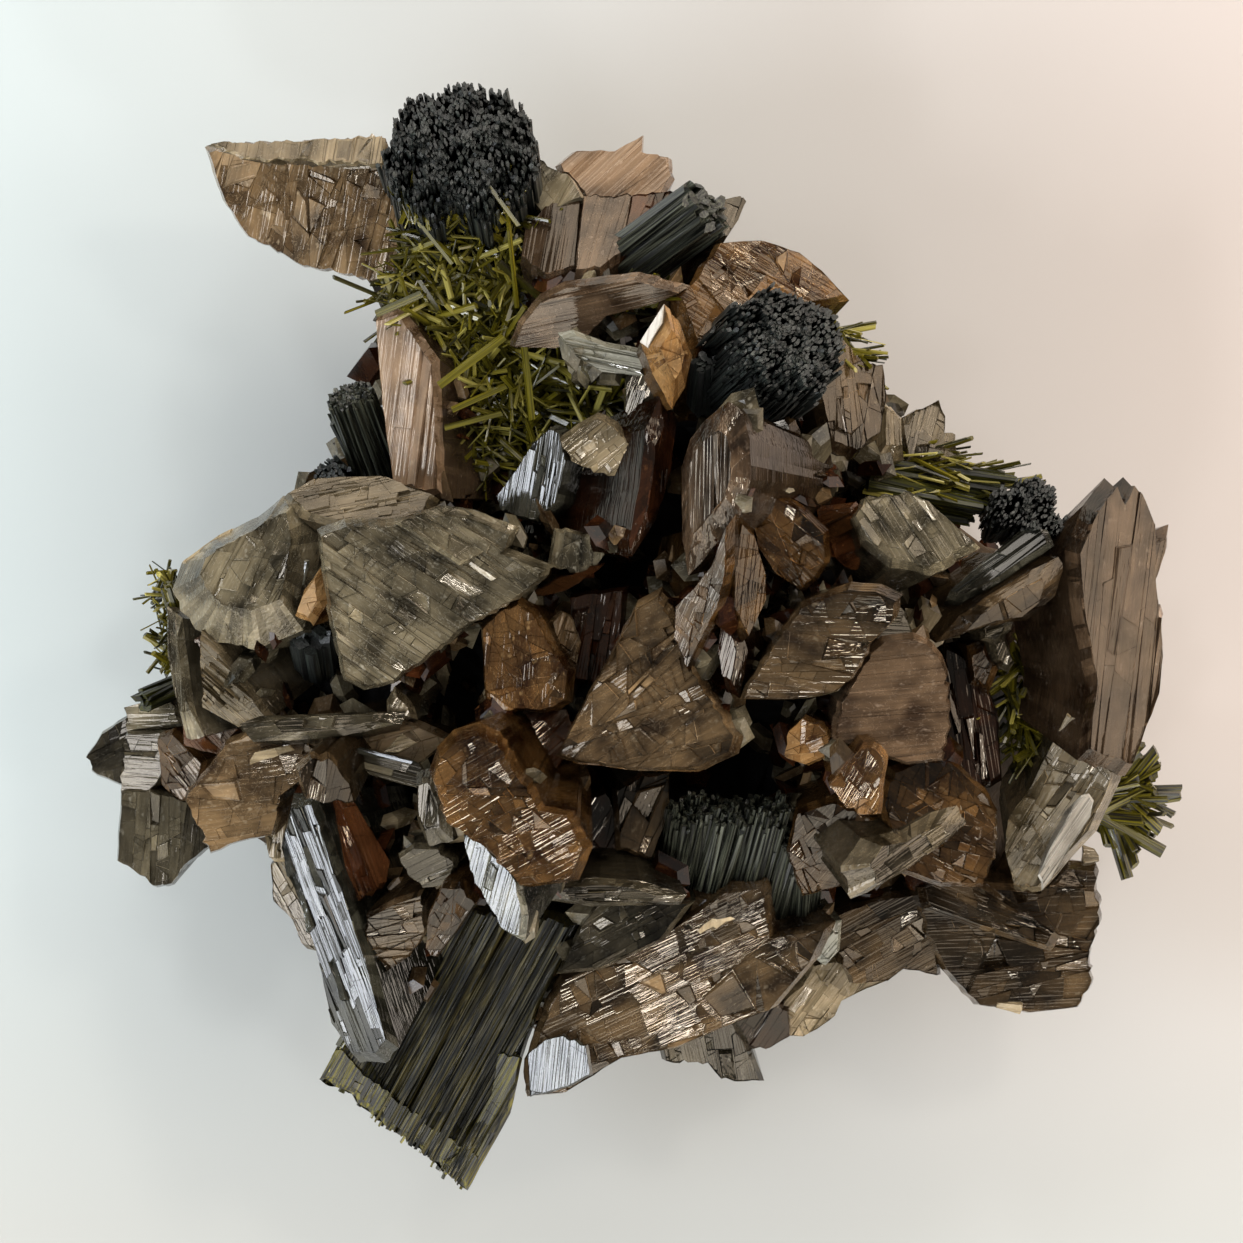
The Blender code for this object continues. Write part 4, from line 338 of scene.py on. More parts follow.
    ("lip_low_right", "pale", 0, 0.62, 23, (25, 270), (0.3, 1.6), (101, 100.8), 0.8, [
        (99.8, 100.3), (102.4, 100.4), (102.2, 101.5), (99.7, 100.8)]),
    ("cream_corner", "pale", 0, 0.33, 28.5, (25, 60), (0.3, 1.6), (109.1, 85.6), 0.8, [
        (108.3, 84.6), (109.5, 85), (110, 86.2), (108.5, 86.4)]),
    ("cream_bud", "pale", 60, 0.5, 35.5, (20, 200), (0.5, 2), (36.3, 92.6), 0.8, [
        (35.3, 91.5), (37, 91.2), (38, 93.5), (36.2, 94.2), (35, 92.5)]),
    ("small_fan_edge", "pale", 45, 0.5, 38, (30, 200), (0.3, 1.6), (44.6, 87.6), 0.8, [
        (43.4, 88.2), (43.8, 88.9), (45.8, 86.8), (45.4, 86.4)]),
    ("left_slab_patch", "pale", 5, 0.65, 36.2, (15, 200), (0.2, 1.2), (26.8, 75.4), 0.8, [
        (25, 76), (25.5, 75.2), (29, 74.5), (29.5, 75), (25, 76.5)]),
    ("slate_stripes", "taupe", -12, 0.13, 36.8, (15, 200), (0.3, 1.6), (39.7, 76.8), 0.8, [
        (34.5, 75), (39.2, 75.5), (42, 76.2), (43, 77.5), (42.5, 79), (37, 77.5)]),
    ("slate_needle", "silver", -10, 0.13, 37.5, (24, 200), (0.2, 1.2), (38.5, 75.6), 0.8, [
        (35, 75.2), (36, 74.7), (41.6, 76.1), (41.4, 76.4)]),
    ("left_tan_spur", "pale", 20, 0.55, 38.5, (20, 70), (0.2, 1.4), (40.1, 74.5), 0.8, [
        (38.4, 75.2), (40.2, 73.3), (41.7, 74.3), (40, 75.2)]),
    ("dome_cream_face", "pale", 62, 0.65, 35, (22, 130), (0.3, 1.4), (22.3, 55.4), 0.8, [
        (18.2, 56.2), (22, 53.5), (25.8, 52), (25.8, 55.5), (22, 57.2), (20, 58)]),
    ("dome_spark_facet", "silver", 30, 0.95, 38.4, (24, 184), (0.3, 1.4), (28, 59.2), 0.8, [
        (24, 59.7), (29, 56), (31, 56), (30, 60), (28.5, 62), (25.5, 61.8)]),
    ("axe_edge", "red", -35, 0.95, 40.5, (35, 300), (0.2, 1.4), (56.9, 57.9), 0.8, [
        (60.5, 56.3), (58.5, 56.8), (55, 58.2), (52.5, 59.8), (55.8, 59.2), (59, 57.4)]),
]

# The look of each kind of axinite: its dark and light faces, its veils (also its painted glints) and the
# depth of its brown.
KINDS = {
    "taupe": ("#3e382a", "#9d9073", "#e2dac4", 300),
    "mauve": ("#402f1e", "#9c7e58", "#dcc6a4", 300),
    "amber": ("#40220a", "#9c7140", "#e0b880", 260),
    "red": ("#120805", "#502c18", "#865832", 300),
    "pale": ("#75664a", "#cab48e", "#f0e2c4", 130),
    # The silver kind: its grey body is partly the crystal's colour and partly painted sheen, and it has a
    # stronger real gloss.
    "silver": ("#2a2a22", "#7e7c6a", "#c8c6b6", 300),
    "silk": ("#4a3626", "#9c7e60", "#d6bca2", 220),
    # This kind's pale grey body is a painted sheen: the light that its two facets mirror.
    "painted_sheen": ("#9c968a", "#c8c2b6", "#e4e0d8", 60),
}

# The look of each kind of epidote: its grooves and its ridges, how rough its ridges are, how much of its
# relief is pits, and its gloss.
EPIDOTES = {
    "epidote_black": ("#0a0c0b", "#2e3430", 0.4, 0.35, 0.35),
    "epidote_olive": ("#12130a", "#454516", 0.25, 0.2, 0.25),
    "epidote_streaked": ("#050604", "#4e5044", 0.16, 0.1, 0.3),
    "epidote_fluted": ("#060704", "#5a5230", 0.16, 0.1, 0.12),
    "epidote_prisms": ("#161208", "#6c641e", 0.18, 0.1, 0.35),
}

# How the faces of each kind are stepped: the strips' width, the most that a tile is long, how often
# shorter ones are cut too, how deep the steps are, how far the tiles tip and how far the cuts stray.
# The strips are coarser than most real striae, so that they show in a view of the whole specimen.
TEXTURES = {
    "taupe": (0.55, 5, 0.45, 0.03, 2.6, 0.12),
    "mauve": (0.8, 5, 0.5, 0.03, 2.5, 0.3),
    "amber": (0.75, 2.2, 0.7, 0.03, 2.4, 0.6),
    "red": (0.6, 6, 0.3, 0.03, 2.6, 0.12),
    "pale": (0.45, 4, 0.4, 0.03, 3.0, 0.08),
    "silver": (0.32, 7, 0.3, 0.04, 2.6, 0.04),
    "silk": (0.7, 16, 0.06, 0.015, 1.2, 0.04),
    "overlay": (0.6, 8, 0.2, 0.015, 1.4, 0.04),
    "plate": (0.13, 30, 0.02, 0.02, 6.0, 0.01),
}

# The root: its widest outline, and its size and height at its foot, its waist and its top. The part of it
# under the cut is taken away.
ROOT_WAIST = [
    (34, 23), (45, 19), (58, 19), (70, 24), (80, 36), (92, 50), (108, 60), (109, 76), (102, 90),
    (86, 94), (76, 98), (60, 102), (46, 108), (36, 98), (30, 85), (16, 82), (15, 74), (20, 62),
    (32, 54), (40, 42), (43, 34),
]
ROOT_LEVELS = [(0.56, -3.0), (0.97, 14.0), (0.71, 29.5)]
ROOT_RELIEF = 1.3
ROOT_LUMP = 7

# Where needles grow in mats: the patch seen from above, the height of its ground at its left and right,
# how many, their lengths, thicknesses and rises, and the way they point.
MATS = [
    ("epidote_needle_mat", [
        (40.5, 24), (44, 22.5), (47, 20.5), (52, 21), (52.5, 27), (52, 33), (56, 36.5), (61.5, 39),
        (60, 42), (53, 43.5), (50.5, 47), (45.2, 47), (45, 40), (42, 33), (37.4, 30.6)],
        (30.5, 32), 1100, (2.5, 8.5), (0.2, 0.85), (0, 48), (0, 360)),
    ("epidote_needle_mat", [
        (39.6, 20.6), (41, 18.6), (46, 19.4), (50.6, 18.2), (51.4, 21), (48, 22.6), (42, 23)],
        (38, 38), 110, (2, 5.5), (0.2, 0.8), (5, 60), (40, 140)),
    ("epidote_needle_mat", [(60, 30.8), (61, 29.4), (65.8, 28.8), (66.4, 30.6), (62, 31.6)],
        (41, 41), 50, (2, 5), (0.25, 0.7), (0, 40), (-20, 60)),
    ("epidote_needle_mat", [(60.6, 53), (61.6, 50.4), (64, 49.8), (63, 52.8)],
        (36, 36), 26, (2, 4.5), (0.3, 0.9), (0, 50), (20, 80)),
    ("epidote_rods_back", [(82, 33), (84.4, 32), (86, 36.4), (84, 37.4)],
        (36, 34), 60, (2.5, 6), (0.25, 0.7), (0, 40), (-80, 20)),
    ("epidote_rods_back", [(86.5, 45.4), (92, 44.6), (100.6, 48), (100, 51.4), (94, 51), (87, 49.6)],
        (31, 28), 170, (3, 8), (0.25, 0.75), (-6, 24), (-30, 20)),
    ("epidote_tuft_left", [(15.6, 58), (17.2, 56.6), (18.6, 62), (18.4, 67.4), (16, 67)],
        (25, 26), 90, (2, 4.6), (0.2, 0.7), (10, 60), (60, 250)),
    ("epidote_plate_bottom", [
        (32, 107.6), (34.6, 103), (37.6, 98), (38.4, 99), (35.4, 105.4), (35.6, 109.8), (41, 114),
        (46.4, 117.4), (46.2, 119), (41.6, 115), (37.6, 111.8), (34.2, 109)],
        (23.5, 18.5), 60, (1.6, 3), (0.3, 0.9), (0, 24), (54, 66)),
    ("epidote_needle_spray", [
        (109, 79), (110.8, 77.2), (112.6, 77.6), (113, 80), (112, 82), (110.6, 82.6), (109, 81.5)],
        (19, 18), 130, (3, 9.5), (0.6, 1.7), (-12, 24), (-80, 55)),
    ("epidote_needles_hollow", [
        (100, 68), (102.6, 63.6), (106.4, 66.4), (106, 72), (103.2, 76.6), (101, 73.6)],
        (31, 31), 150, (3, 7), (0.3, 1.0), (10, 50), (200, 340)),
]

# Needles that lie alone: where they start and end, their thickness and how light they are.
LONE_NEEDLES = [
    ((41.6, 21.9, 38), (45.2, 26.4, 38), 0.7, 0.55),
    ((47.6, 17.0, 44), (51.8, 22.6, 41), 0.7, 0.45),
    ((50.6, 19.4, 42), (51.7, 30.8, 38), 0.8, 0.6),
    ((49.9, 26.3, 39), (53.9, 29.7, 38), 1.3, 0.2),
    ((43.9, 38.6, 38), (50.4, 33.7, 38), 0.9, 0.6),
    ((44.5, 42.8, 37), (50.2, 41.3, 38), 0.8, 0.45),
    ((45.2, 41.0, 37), (50.6, 38.6, 37), 0.7, 0.7),
    ((37.6, 31.4, 36), (42.2, 29.4, 37), 0.8, 0.5),
    ((52.4, 34.6, 38), (53.2, 42.0, 37), 0.8, 0.6),
    ((57.7, 46.2, 42), (58.1, 52.8, 42), 0.5, 0.6),
]

# Bundles of parallel fibres: where each starts and ends, its half width and half thickness, the radius of
# its fibres and how uneven their ends are. The knobs are bundles that have crumbled all round.
KNOBS = [
    ("epidote_knob_top_left", (46.6, 18.8, 25), (45.9, 14.6, 44.6), 7.7, 6.8, 0.17, 0.4),
    ("epidote_knob_right_top", (74.4, 38.4, 35), (79.2, 34.2, 54.3), 5.8, 5.6, 0.17, 0.14),
    ("epidote_knob_right", (102.2, 52.8, 26), (103.4, 51.0, 37.8), 3.5, 3.3, 0.15, 0.25),
]
COLUMNS = [
    ("epidote_column_top", (62.2, 26.6, 34.5), (70.9, 20.4, 42.4), 3.0, 2.2, 0.42, 0.3),
    ("epidote_column_top", (65.4, 26.4, 34), (71.6, 22.0, 40.8), 1.6, 2.4, 0.38, 0.4),
    ("epidote_column_left", (38.6, 48.8, 24), (34.9, 39.2, 31.3), 2.5, 2.1, 0.19, 0.1),
    ("epidote_column_left", (36.4, 47.0, 25), (33.9, 41.0, 28.8), 1.2, 1.6, 0.18, 0.15),
    ("epidote_cube_left", (34.4, 48.2, 22), (32.9, 47.2, 29.8), 1.6, 1.5, 0.19, 0.05),
    ("epidote_block_left", (31.6, 67.8, 26), (30.9, 63.2, 37.6), 2.2, 2.3, 0.5, 0.5),
    ("epidote_rods_back", (86.6, 46.4, 31), (101.0, 48.4, 29.5), 1.3, 1.3, 0.3, 0.8),
    ("epidote_rods_back", (86.8, 48.0, 32), (99.8, 50.6, 30), 1.5, 1.4, 0.3, 0.9),
    ("epidote_rods_back", (86.8, 49.6, 30.5), (97.6, 51.6, 28.5), 0.9, 1.2, 0.28, 0.6),
    ("epidote_barrel_small", (70.2, 40.6, 40), (70.5, 36.0, 46.8), 1.35, 1.35, 0.28, 0.15),
    ("epidote_mass_low", (67.8, 87.8, 31), (69.2, 80.4, 40.8), 2.3, 2.0, 0.2, 1.1),
    ("epidote_mass_low", (71.0, 88.6, 31), (73.2, 80.2, 40.8), 2.2, 2.1, 0.21, 1.2),
    ("epidote_mass_low", (74.4, 89.8, 30), (76.8, 80.4, 39.8), 2.3, 2.1, 0.2, 1.1),
    ("epidote_mass_low", (77.0, 92.4, 29), (79.6, 83.0, 36.8), 2.0, 1.9, 0.2, 1.1),
    ("epidote_mass_low", (80.0, 93.2, 28), (80.6, 86.0, 35.8), 1.6, 1.7, 0.2, 0.9),
    ("epidote_tuft_left", (18.2, 63.4, 27), (16.6, 57.6, 29.8), 0.9, 0.8, 0.22, 0.5),
    ("epidote_tuft_left", (18.6, 61.8, 26), (16.2, 62.2, 28), 0.8, 0.8, 0.22, 0.5),
    ("epidote_tuft_left", (18.6, 63.0, 26), (16.3, 67.2, 27), 0.9, 0.8, 0.22, 0.5),
    ("epidote_green_left", (17.4, 68.6, 20), (13.7, 70.4, 24), 1.2, 1.3, 0.3, 0.4),
]
# The bundles and mats that aren't of the usual look, with their look and their material slot.
BUNDLE_LOOKS = {
    "epidote_rods_back": ("epidote_olive", "epidote_olive"),
    "epidote_green_left": ("epidote_olive", "epidote_olive"),
    "epidote_mass_low": ("epidote_streaked", "epidote_black"),
    "epidote_column_top": ("epidote_streaked", "epidote_black"),
    "epidote_column_left": ("epidote_streaked", "epidote_black"),
    "epidote_tuft_left": ("epidote_needles", "epidote_needles"),
}
MAT_LOOKS = {
    "epidote_rods_back": ("epidote_needles", "epidote_olive"),
    "epidote_plate_bottom": ("epidote_needles", "epidote_olive"),
    "epidote_needle_spray": ("epidote_prisms", "epidote_needles"),
}

# The broad plate at the bottom and its clear olive ends, described as the blades are.
PLATE = ("plate_bottom", "plate", 61, 0.3, 27, (20, 240), (1.4, 7), (47, 101.5), 0.86, [
    (31.8, 108.1), (34.5, 109.3), (38, 112.3), (42, 115.1), (46.7, 119.3), (51, 111.5), (52.2, 106),
    (54.2, 100), (58.2, 91.8), (53, 90.6), (45.6, 90.2), (40.2, 99.6)])
PLATE_ENDS = [
    ("plate_end_low", "plate", 61, 0.45, 28.5, (20, 240), (0.3, 1.6), (47, 101.5), 0.8, [
        (31.9, 108.0), (34.5, 109.2), (38, 112.2), (42, 115), (46.6, 119.1), (47.8, 116.6), (43.4, 113.6),
        (38.8, 110.2), (35.4, 107.4), (33.4, 105.2)]),
    ("plate_end_right", "plate", 61, 0.5, 28.4, (20, 240), (0.3, 1.6), (47, 101.5), 0.8, [
        (46.8, 119), (51, 111.5), (52.2, 106), (50, 105.6), (49.2, 110), (46.4, 115)]),
]

# Each light: its azimuth, elevation and distance, its width and height, its power and its hue. The fills
# are large and soft, and the sparks are small ones that the facets mirror.
LIGHTS = {
    "window_left": (192, 41, 0.9, 0.36, 0.36, 3.2, "#eef4ff"),
    "fill_left": (225, 27, 1.2, 1.8, 1.0, 10.5, "#f4f6f4"),
    "fill_right": (8, 27, 1.2, 1.8, 1.0, 14.0, "#fff0e0"),
    "fill_back": (88, 30, 1.2, 1.8, 1.0, 14.0, "#fff6ea"),
    "fill_front": (290, 27, 1.2, 1.8, 1.0, 9.0, "#fff8ee"),
    "spark_back": (118, 50, 0.9, 0.1, 0.1, 0.7, "#ffffff"),
    "spark_right": (40, 58, 0.9, 0.1, 0.1, 0.7, "#fff6ea"),
    "spark_front": (318, 44, 0.9, 0.1, 0.1, 0.7, "#ffffff"),
    "spark_low": (262, 54, 0.9, 0.1, 0.1, 0.7, "#ffffff"),
}
LIGHT_AIM = Vector((0, 0, 0.03))
BOUNCES = {"max_bounces": 3, "diffuse_bounces": 1, "glossy_bounces": 1, "transmission_bounces": 2,
           "volume_bounces": 0}
FLOOR_HALF = 3.0
# The reach of the floor's painted light tints from the middle, in metres.
TINT_REACH = 0.065


def place(x, y, z):
    """A plan place and a height as a point in the scene."""
    return Vector(((x - PLAN_CENTRE[0]) * MM, (PLAN_CENTRE[1] - y) * MM, z * MM))


def pointing(azimuth, elevation):
    """The unit vector that points in a direction, in radians."""
    flat = math.cos(elevation)
    return Vector((flat * math.cos(azimuth), flat * math.sin(azimuth), math.sin(elevation)))


def within(outline, x, y):
    """Tells whether a plan place is inside an outline."""
    odd = False
    for (ax, ay), (bx, by) in zip(outline, outline[1:] + outline[:1]):
        if (ay > y) != (by > y) and x < ax + (bx - ax) * (y - ay) / (by - ay):
            odd = not odd
    return odd


def colour(text):
    """A screen colour as the linear colour that shaders take."""
    parts = [int(text[i:i + 2], 16) / 255 for i in (1, 3, 5)]
    return [p / 12.92 if p <= 0.04045 else ((p + 0.055) / 1.055) ** 2.4 for p in parts] + [1.0]


def add(tree, kind, settings=(), **inputs):
    """Adds a shader node. An input is a plain value or another node's socket."""
    node = tree.nodes.new("ShaderNode" + kind)
    for name, value in dict(settings).items():
        setattr(node, name, value)
    for name, value in inputs.items():
        socket = node.inputs[int(name[1:])] if name[1:].isdigit() else node.inputs[name.replace("_", " ")]
        if isinstance(value, bpy.types.NodeSocket):
            tree.links.new(value, socket)
        else:
            socket.default_value = value
    return node


def ramp(tree, factor, stops):
    """A colour ramp. Each stop is a position with a grey or a colour."""
    node = add(tree, "ValToRGB", Fac=factor)
    elements = node.color_ramp.elements
    while len(elements) < len(stops):
        elements.new(0.5)
    for element, (position, value) in zip(elements, stops):
        element.position = position
        element.color = value if isinstance(value, list) else (value, value, value, 1)
    return node.outputs["Color"]


def mix(tree, blend, factor, a, b):
    """Mixes two colours."""
    node = add(tree, "Mix", {"data_type": "RGBA", "blend_type": blend}, _0=factor, _6=a, _7=b)
    return node.outputs[2]


def new_material(name):
    material = bpy.data.materials.new(name)
    material.use_nodes = True
    return material, material.node_tree, material.node_tree.nodes["Principled BSDF"]


def grain(tree, across, along, through):
    """A crystal's own directions in millimetres, scaled: across its striae, along them and through it."""
    own = add(tree, "Attribute", {"attribute_name": "grain"}).outputs["Vector"]
    return add(tree, "Mapping", Vector=own, Scale=(across, along, through)).outputs["Vector"]


def patches(tree, across, along, through, detail, roughness):
    """Noise in a crystal's own directions, as so many patches to the millimetre in each."""
    return add(tree, "TexNoise", Vector=grain(tree, across, along, through), Scale=1.0, Detail=detail,
               Roughness=roughness).outputs["Fac"]


def striae(tree, across, along, detail):
    """Fine lines along a crystal. They are drawn coarser than the real ones, which the view can't show."""
    return patches(tree, across, along, across, detail, 0.62)


def tone(tree):
    """How light a face is, from 0 to 1: its own tone, with the painted shade and painted light written on
    the faces.
    """
    return add(tree, "Attribute", {"attribute_name": "tone"}).outputs["Fac"]


def brown(tree, dark, light, veil_and_glint):
    """The clouds, flaws and striae that all the axinite shares: its colour and its striae."""
    fine = striae(tree, 3.4, 0.08, 1.0)
    cloud = patches(tree, 0.3, 0.2, 0.3, 2.0, 0.55)
    flaw = patches(tree, 1.3, 0.8, 1.3, 2.0, 0.6)
    body = ramp(tree, cloud, [(0.34, colour(dark)), (0.62, colour(light))])
    lines = ramp(tree, flaw, [(0.475, 0.0), (0.49, 0.3), (0.505, 0.0), (0.62, 0.0), (0.74, 0.5)])
    body = mix(tree, "MIX", lines, body, colour(veil_and_glint))
    body = mix(tree, "MULTIPLY", 1.0, body, ramp(tree, fine, [(0.38, 0.86), (0.64, 1.16)]))
    # The face's tone darkens or lightens the body: each tile's own tone, and the painted shade and painted
    # light on it.
    body = mix(tree, "MULTIPLY", 1.0, body, ramp(tree, tone(tree), [(0.0, 0.08), (0.5, 0.8), (1.0, 2.2)]))
    # The lightest faces are mixed toward the veil colour: painted whitish glints.
    body = mix(tree, "MIX", ramp(tree, tone(tree), [(0.75, 0.0), (1.0, 0.5)]), body, colour(veil_and_glint))
    return body, fine


def axinite(kind):
    """Axinite. It gives the eye clove-brown glass, clouded inside, with silky lines on its faces."""
    dark, light, veil_and_glint, depth = KINDS[kind]
    material, tree, shader = new_material(f"axinite_{kind}")
    body, fine = brown(tree, dark, light, veil_and_glint)
    tree.links.new(body, shader.inputs["Base Color"])
    shader.inputs["Roughness"].default_value = 0.08
    shader.inputs["IOR"].default_value = 1.68
    shader.inputs["Specular IOR Level"].default_value = 0.6 if kind == "silver" else 0.26
    shader.inputs["Specular Tint"].default_value = colour("#ffffff" if kind == "silver" else "#fff2e0")
    shader.inputs["Transmission Weight"].default_value = 0.5
    bump = add(tree, "Bump", Height=fine, Strength=0.35, Distance=0.0002)
    tree.links.new(bump.outputs["Normal"], shader.inputs["Normal"])
    inside = add(tree, "VolumeAbsorption", Color=colour(light), Density=depth)
    tree.links.new(inside.outputs["Volume"], tree.nodes["Material Output"].inputs["Volume"])
    return material


def druse_brown(kind):
    """Axinite in small crowded crystals. It gives the eye brown sparkle that it can't see into."""
    dark, light, veil_and_glint, _ = KINDS[kind]
    material, tree, shader = new_material(f"druse_{kind}")
    body, _ = brown(tree, dark, light, veil_and_glint)
    tree.links.new(body, shader.inputs["Base Color"])
    shader.inputs["Roughness"].default_value = 0.12
    shader.inputs["IOR"].default_value = 1.68
    shader.inputs["Specular IOR Level"].default_value = 0.18
    return material


def epidote(name, dark, light, rough, pit, gloss):
    """Epidote. It gives the eye black-green to olive, glossy along its fibres and dull across their ends."""
    material, tree, shader = new_material(name)
    fine = striae(tree, 4.5, 0.12, 1.0)
    body = ramp(tree, fine, [(0.42, colour(dark)), (0.66, colour(light))])
    body = mix(tree, "MULTIPLY", 1.0, body, ramp(tree, tone(tree), [(0.0, 0.4), (1.0, 1.7)]))
    tree.links.new(body, shader.inputs["Base Color"])
    tree.links.new(ramp(tree, fine, [(0.35, rough + 0.2), (0.65, rough)]), shader.inputs["Roughness"])
    shader.inputs["IOR"].default_value = 1.75
    shader.inputs["Specular IOR Level"].default_value = gloss
    pits = patches(tree, 2.2, 2.2, 2.2, 1.0, 0.5)
    bump = add(tree, "Bump", Height=mix(tree, "MIX", pit, fine, pits), Strength=0.6, Distance=0.00012)
    tree.links.new(bump.outputs["Normal"], shader.inputs["Normal"])
    return material


def needles():
    """Clear epidote. It gives the eye yellow-green needles, each as light as its shade, painted darker low
    in a mat.
    """
    material, tree, shader = new_material("epidote_needles")
    fine = striae(tree, 6.0, 0.15, 0.0)
    body = ramp(tree, tone(tree), [(0.0, colour("#0a0a04")), (0.3, colour("#34320e")),
                                   (0.7, colour("#80761f")), (1.0, colour("#d2c66c"))])
    body = mix(tree, "MULTIPLY", 0.7, body, ramp(tree, fine, [(0.38, 0.5), (0.62, 1.4)]))
    tree.links.new(body, shader.inputs["Base Color"])
    shader.inputs["Roughness"].default_value = 0.2
    shader.inputs["IOR"].default_value = 1.73
    shader.inputs["Specular IOR Level"].default_value = 0.35
    shader.inputs["Transmission Weight"].default_value = 0.3
    return material


def broken():
    """Broken rock of axinite. It gives the eye dull brown flanks, and painted shade, near black, deep
    between the blades.
    """
    material, tree, shader = new_material("axinite_root")
    where = add(tree, "TexCoord").outputs["Object"]
    lumps = add(tree, "TexNoise", Vector=where, Scale=260.0, Detail=6.0, Roughness=0.65).outputs["Fac"]
    height = add(tree, "SeparateXYZ", Vector=where).outputs["Z"]
    # Painted shade: above its flanks, under and between the blades, the root is coloured near black.
    painted_shade_share = add(tree, "MapRange", Value=height, From_Min=0.014, From_Max=0.025).outputs["Result"]
    rock = ramp(tree, lumps, [(0.35, colour("#1c150e")), (0.65, colour("#54432f"))])
    dark = ramp(tree, lumps, [(0.35, colour("#020101")), (0.65, colour("#0c0805"))])
    tree.links.new(mix(tree, "MIX", painted_shade_share, rock, dark), shader.inputs["Base Color"])
    shader.inputs["Roughness"].default_value = 0.6
    shader.inputs["Specular IOR Level"].default_value = 0.15
    bump = add(tree, "Bump", Height=lumps, Strength=0.8, Distance=0.0008)
    tree.links.new(bump.outputs["Normal"], shader.inputs["Normal"])
    return material


def paper():
    """Paper. It gives the eye a pale matt floor, with painted light in its colour: cool at the left, warm at
    the right, greyer in front.
    """
    material, tree, shader = new_material("paper")
    where = add(tree, "TexCoord").outputs["Object"]
    split = add(tree, "SeparateXYZ", Vector=where)
    side = add(tree, "MapRange", Value=split.outputs["X"], From_Min=-TINT_REACH, From_Max=TINT_REACH)
    rise = add(tree, "MapRange", Value=split.outputs["Y"], From_Min=-TINT_REACH, From_Max=-0.01)
    # Painted light: the floor's colour is cool at the left, warm at the right and greyer in front, as the
    # lamps light it.
    painted_light_tint = mix(tree, "MIX", side.outputs["Result"], colour("#c7d1d2"), colour("#cec4bf"))
    painted_light_tint = mix(tree, "MIX", rise.outputs["Result"], colour("#bcbebb"), painted_light_tint)
    tree.links.new(painted_light_tint, shader.inputs["Base Color"])
    shader.inputs["Roughness"].default_value = 0.9
    shader.inputs["Specular IOR Level"].default_value = 0.2
    return material


def new_mesh():
    """A mesh under construction, whose points know their place in their crystal and faces their shade."""
    bm = bmesh.new()
    bm.verts.layers.float_vector.new("grain")
    bm.faces.layers.float.new("tone")
    bm.faces.layers.int.new("top")
    return bm


def parts_of(found, kind):
    return [item for item in found if isinstance(item, kind)]


def middle_of(face):
    """A key to sort faces by: the mesh operators may leave them in another order each time."""
    return face.calc_center_median()[:]


def in_range(shade):
    """Keeps a shade from 0 to 1. A shade of 0 is left for the faces that have none yet."""
    return min(1.0, max(0.01, shade))


def mark(bm, verts, frame_of, shade, draw, spread):
    """Writes a crystal's own directions on its points, and a shade on its faces that have none."""
    grains = bm.verts.layers.float_vector["grain"]
    tones = bm.faces.layers.float["tone"]
    inverse = frame_of.inverted()
    shift = Vector([draw.uniform(0, 60) for _ in range(3)])
    for vert in verts:
        vert[grains] = inverse @ vert.co / MM + shift
    for face in sorted({face for vert in verts for face in vert.link_faces}, key=middle_of):
        if face[tones] == 0:
            face[tones] = in_range(shade + draw.uniform(-spread, spread))


def finished(name, bm, material=None):
    """Makes an object of a mesh under construction."""
    bmesh.ops.recalc_face_normals(bm, faces=bm.faces)
    mesh = bpy.data.meshes.new(name)
    bm.to_mesh(mesh)
    bm.free()
    mesh.materials.append(material)
    piece = bpy.data.objects.new(name, mesh)
    scene.collection.objects.link(piece)
    return piece


def settled(piece, slot, *nodes):
    """Says what a piece rides on and which solids it stands for. Its slot is not used."""
    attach(piece, "root")
    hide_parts(*nodes)


def joined(name, pieces, material, slot, *nodes):
    """Joins objects into one piece of the specimen."""
    piece = pieces[0]
    with bpy.context.temp_override(active_object=piece, selected_editable_objects=pieces):
        bpy.ops.object.join()
    piece.name = name
    piece.data.name = name
    piece.data.materials.clear()
    piece.data.materials.append(material)
    settled(piece, slot, *nodes)


def cut(bm, faces, spot, slant):
    """Cuts faces along a plane. Returns the faces that they leave."""
    edges = dict.fromkeys(edge for face in faces for edge in face.edges)
    verts = dict.fromkeys(vert for face in faces for vert in face.verts)
    made = bmesh.ops.bisect_plane(bm, geom=[*faces, *edges, *verts], dist=CUT_SNAP, plane_co=spot,
                                  plane_no=slant)
    return parts_of(made["geom"], bmesh.types.BMFace)


def breadth(face):
    """How wide a long narrow face is, in millimetres."""
    centre = face.calc_center_median()
    reach = max((vert.co - centre).length for vert in face.verts)
    return face.calc_area() / (2 * reach) / MM


def ragged(outline, angle, draw):
    """An outline with small chips along its edges, its own corners kept.

    Edges that cross the striae are toothed, and those that run along them are nearly straight.
    """
    points = []
    east, south = math.cos(math.radians(angle)), -math.sin(math.radians(angle))
    for (ax, ay), (bx, by) in zip(outline, outline[1:] + outline[:1]):
        length = math.hypot(bx - ax, by - ay)
        crossing = abs((bx - ax) * south - (by - ay) * east) / length
        count = max(1, round(length / (1.3 - 0.7 * crossing)))
        for i in range(count):
            share = (i + (draw.uniform(-0.3, 0.3) if i else 0)) / count
            tooth = draw.uniform(-0.24, 0.24) * crossing if i else 0
            nudge = 0.06 if i else 0
            points.append((ax + (bx - ax) * share + east * tooth + draw.uniform(-nudge, nudge),
                           ay + (by - ay) * share + south * tooth + draw.uniform(-nudge, nudge)))
    return points


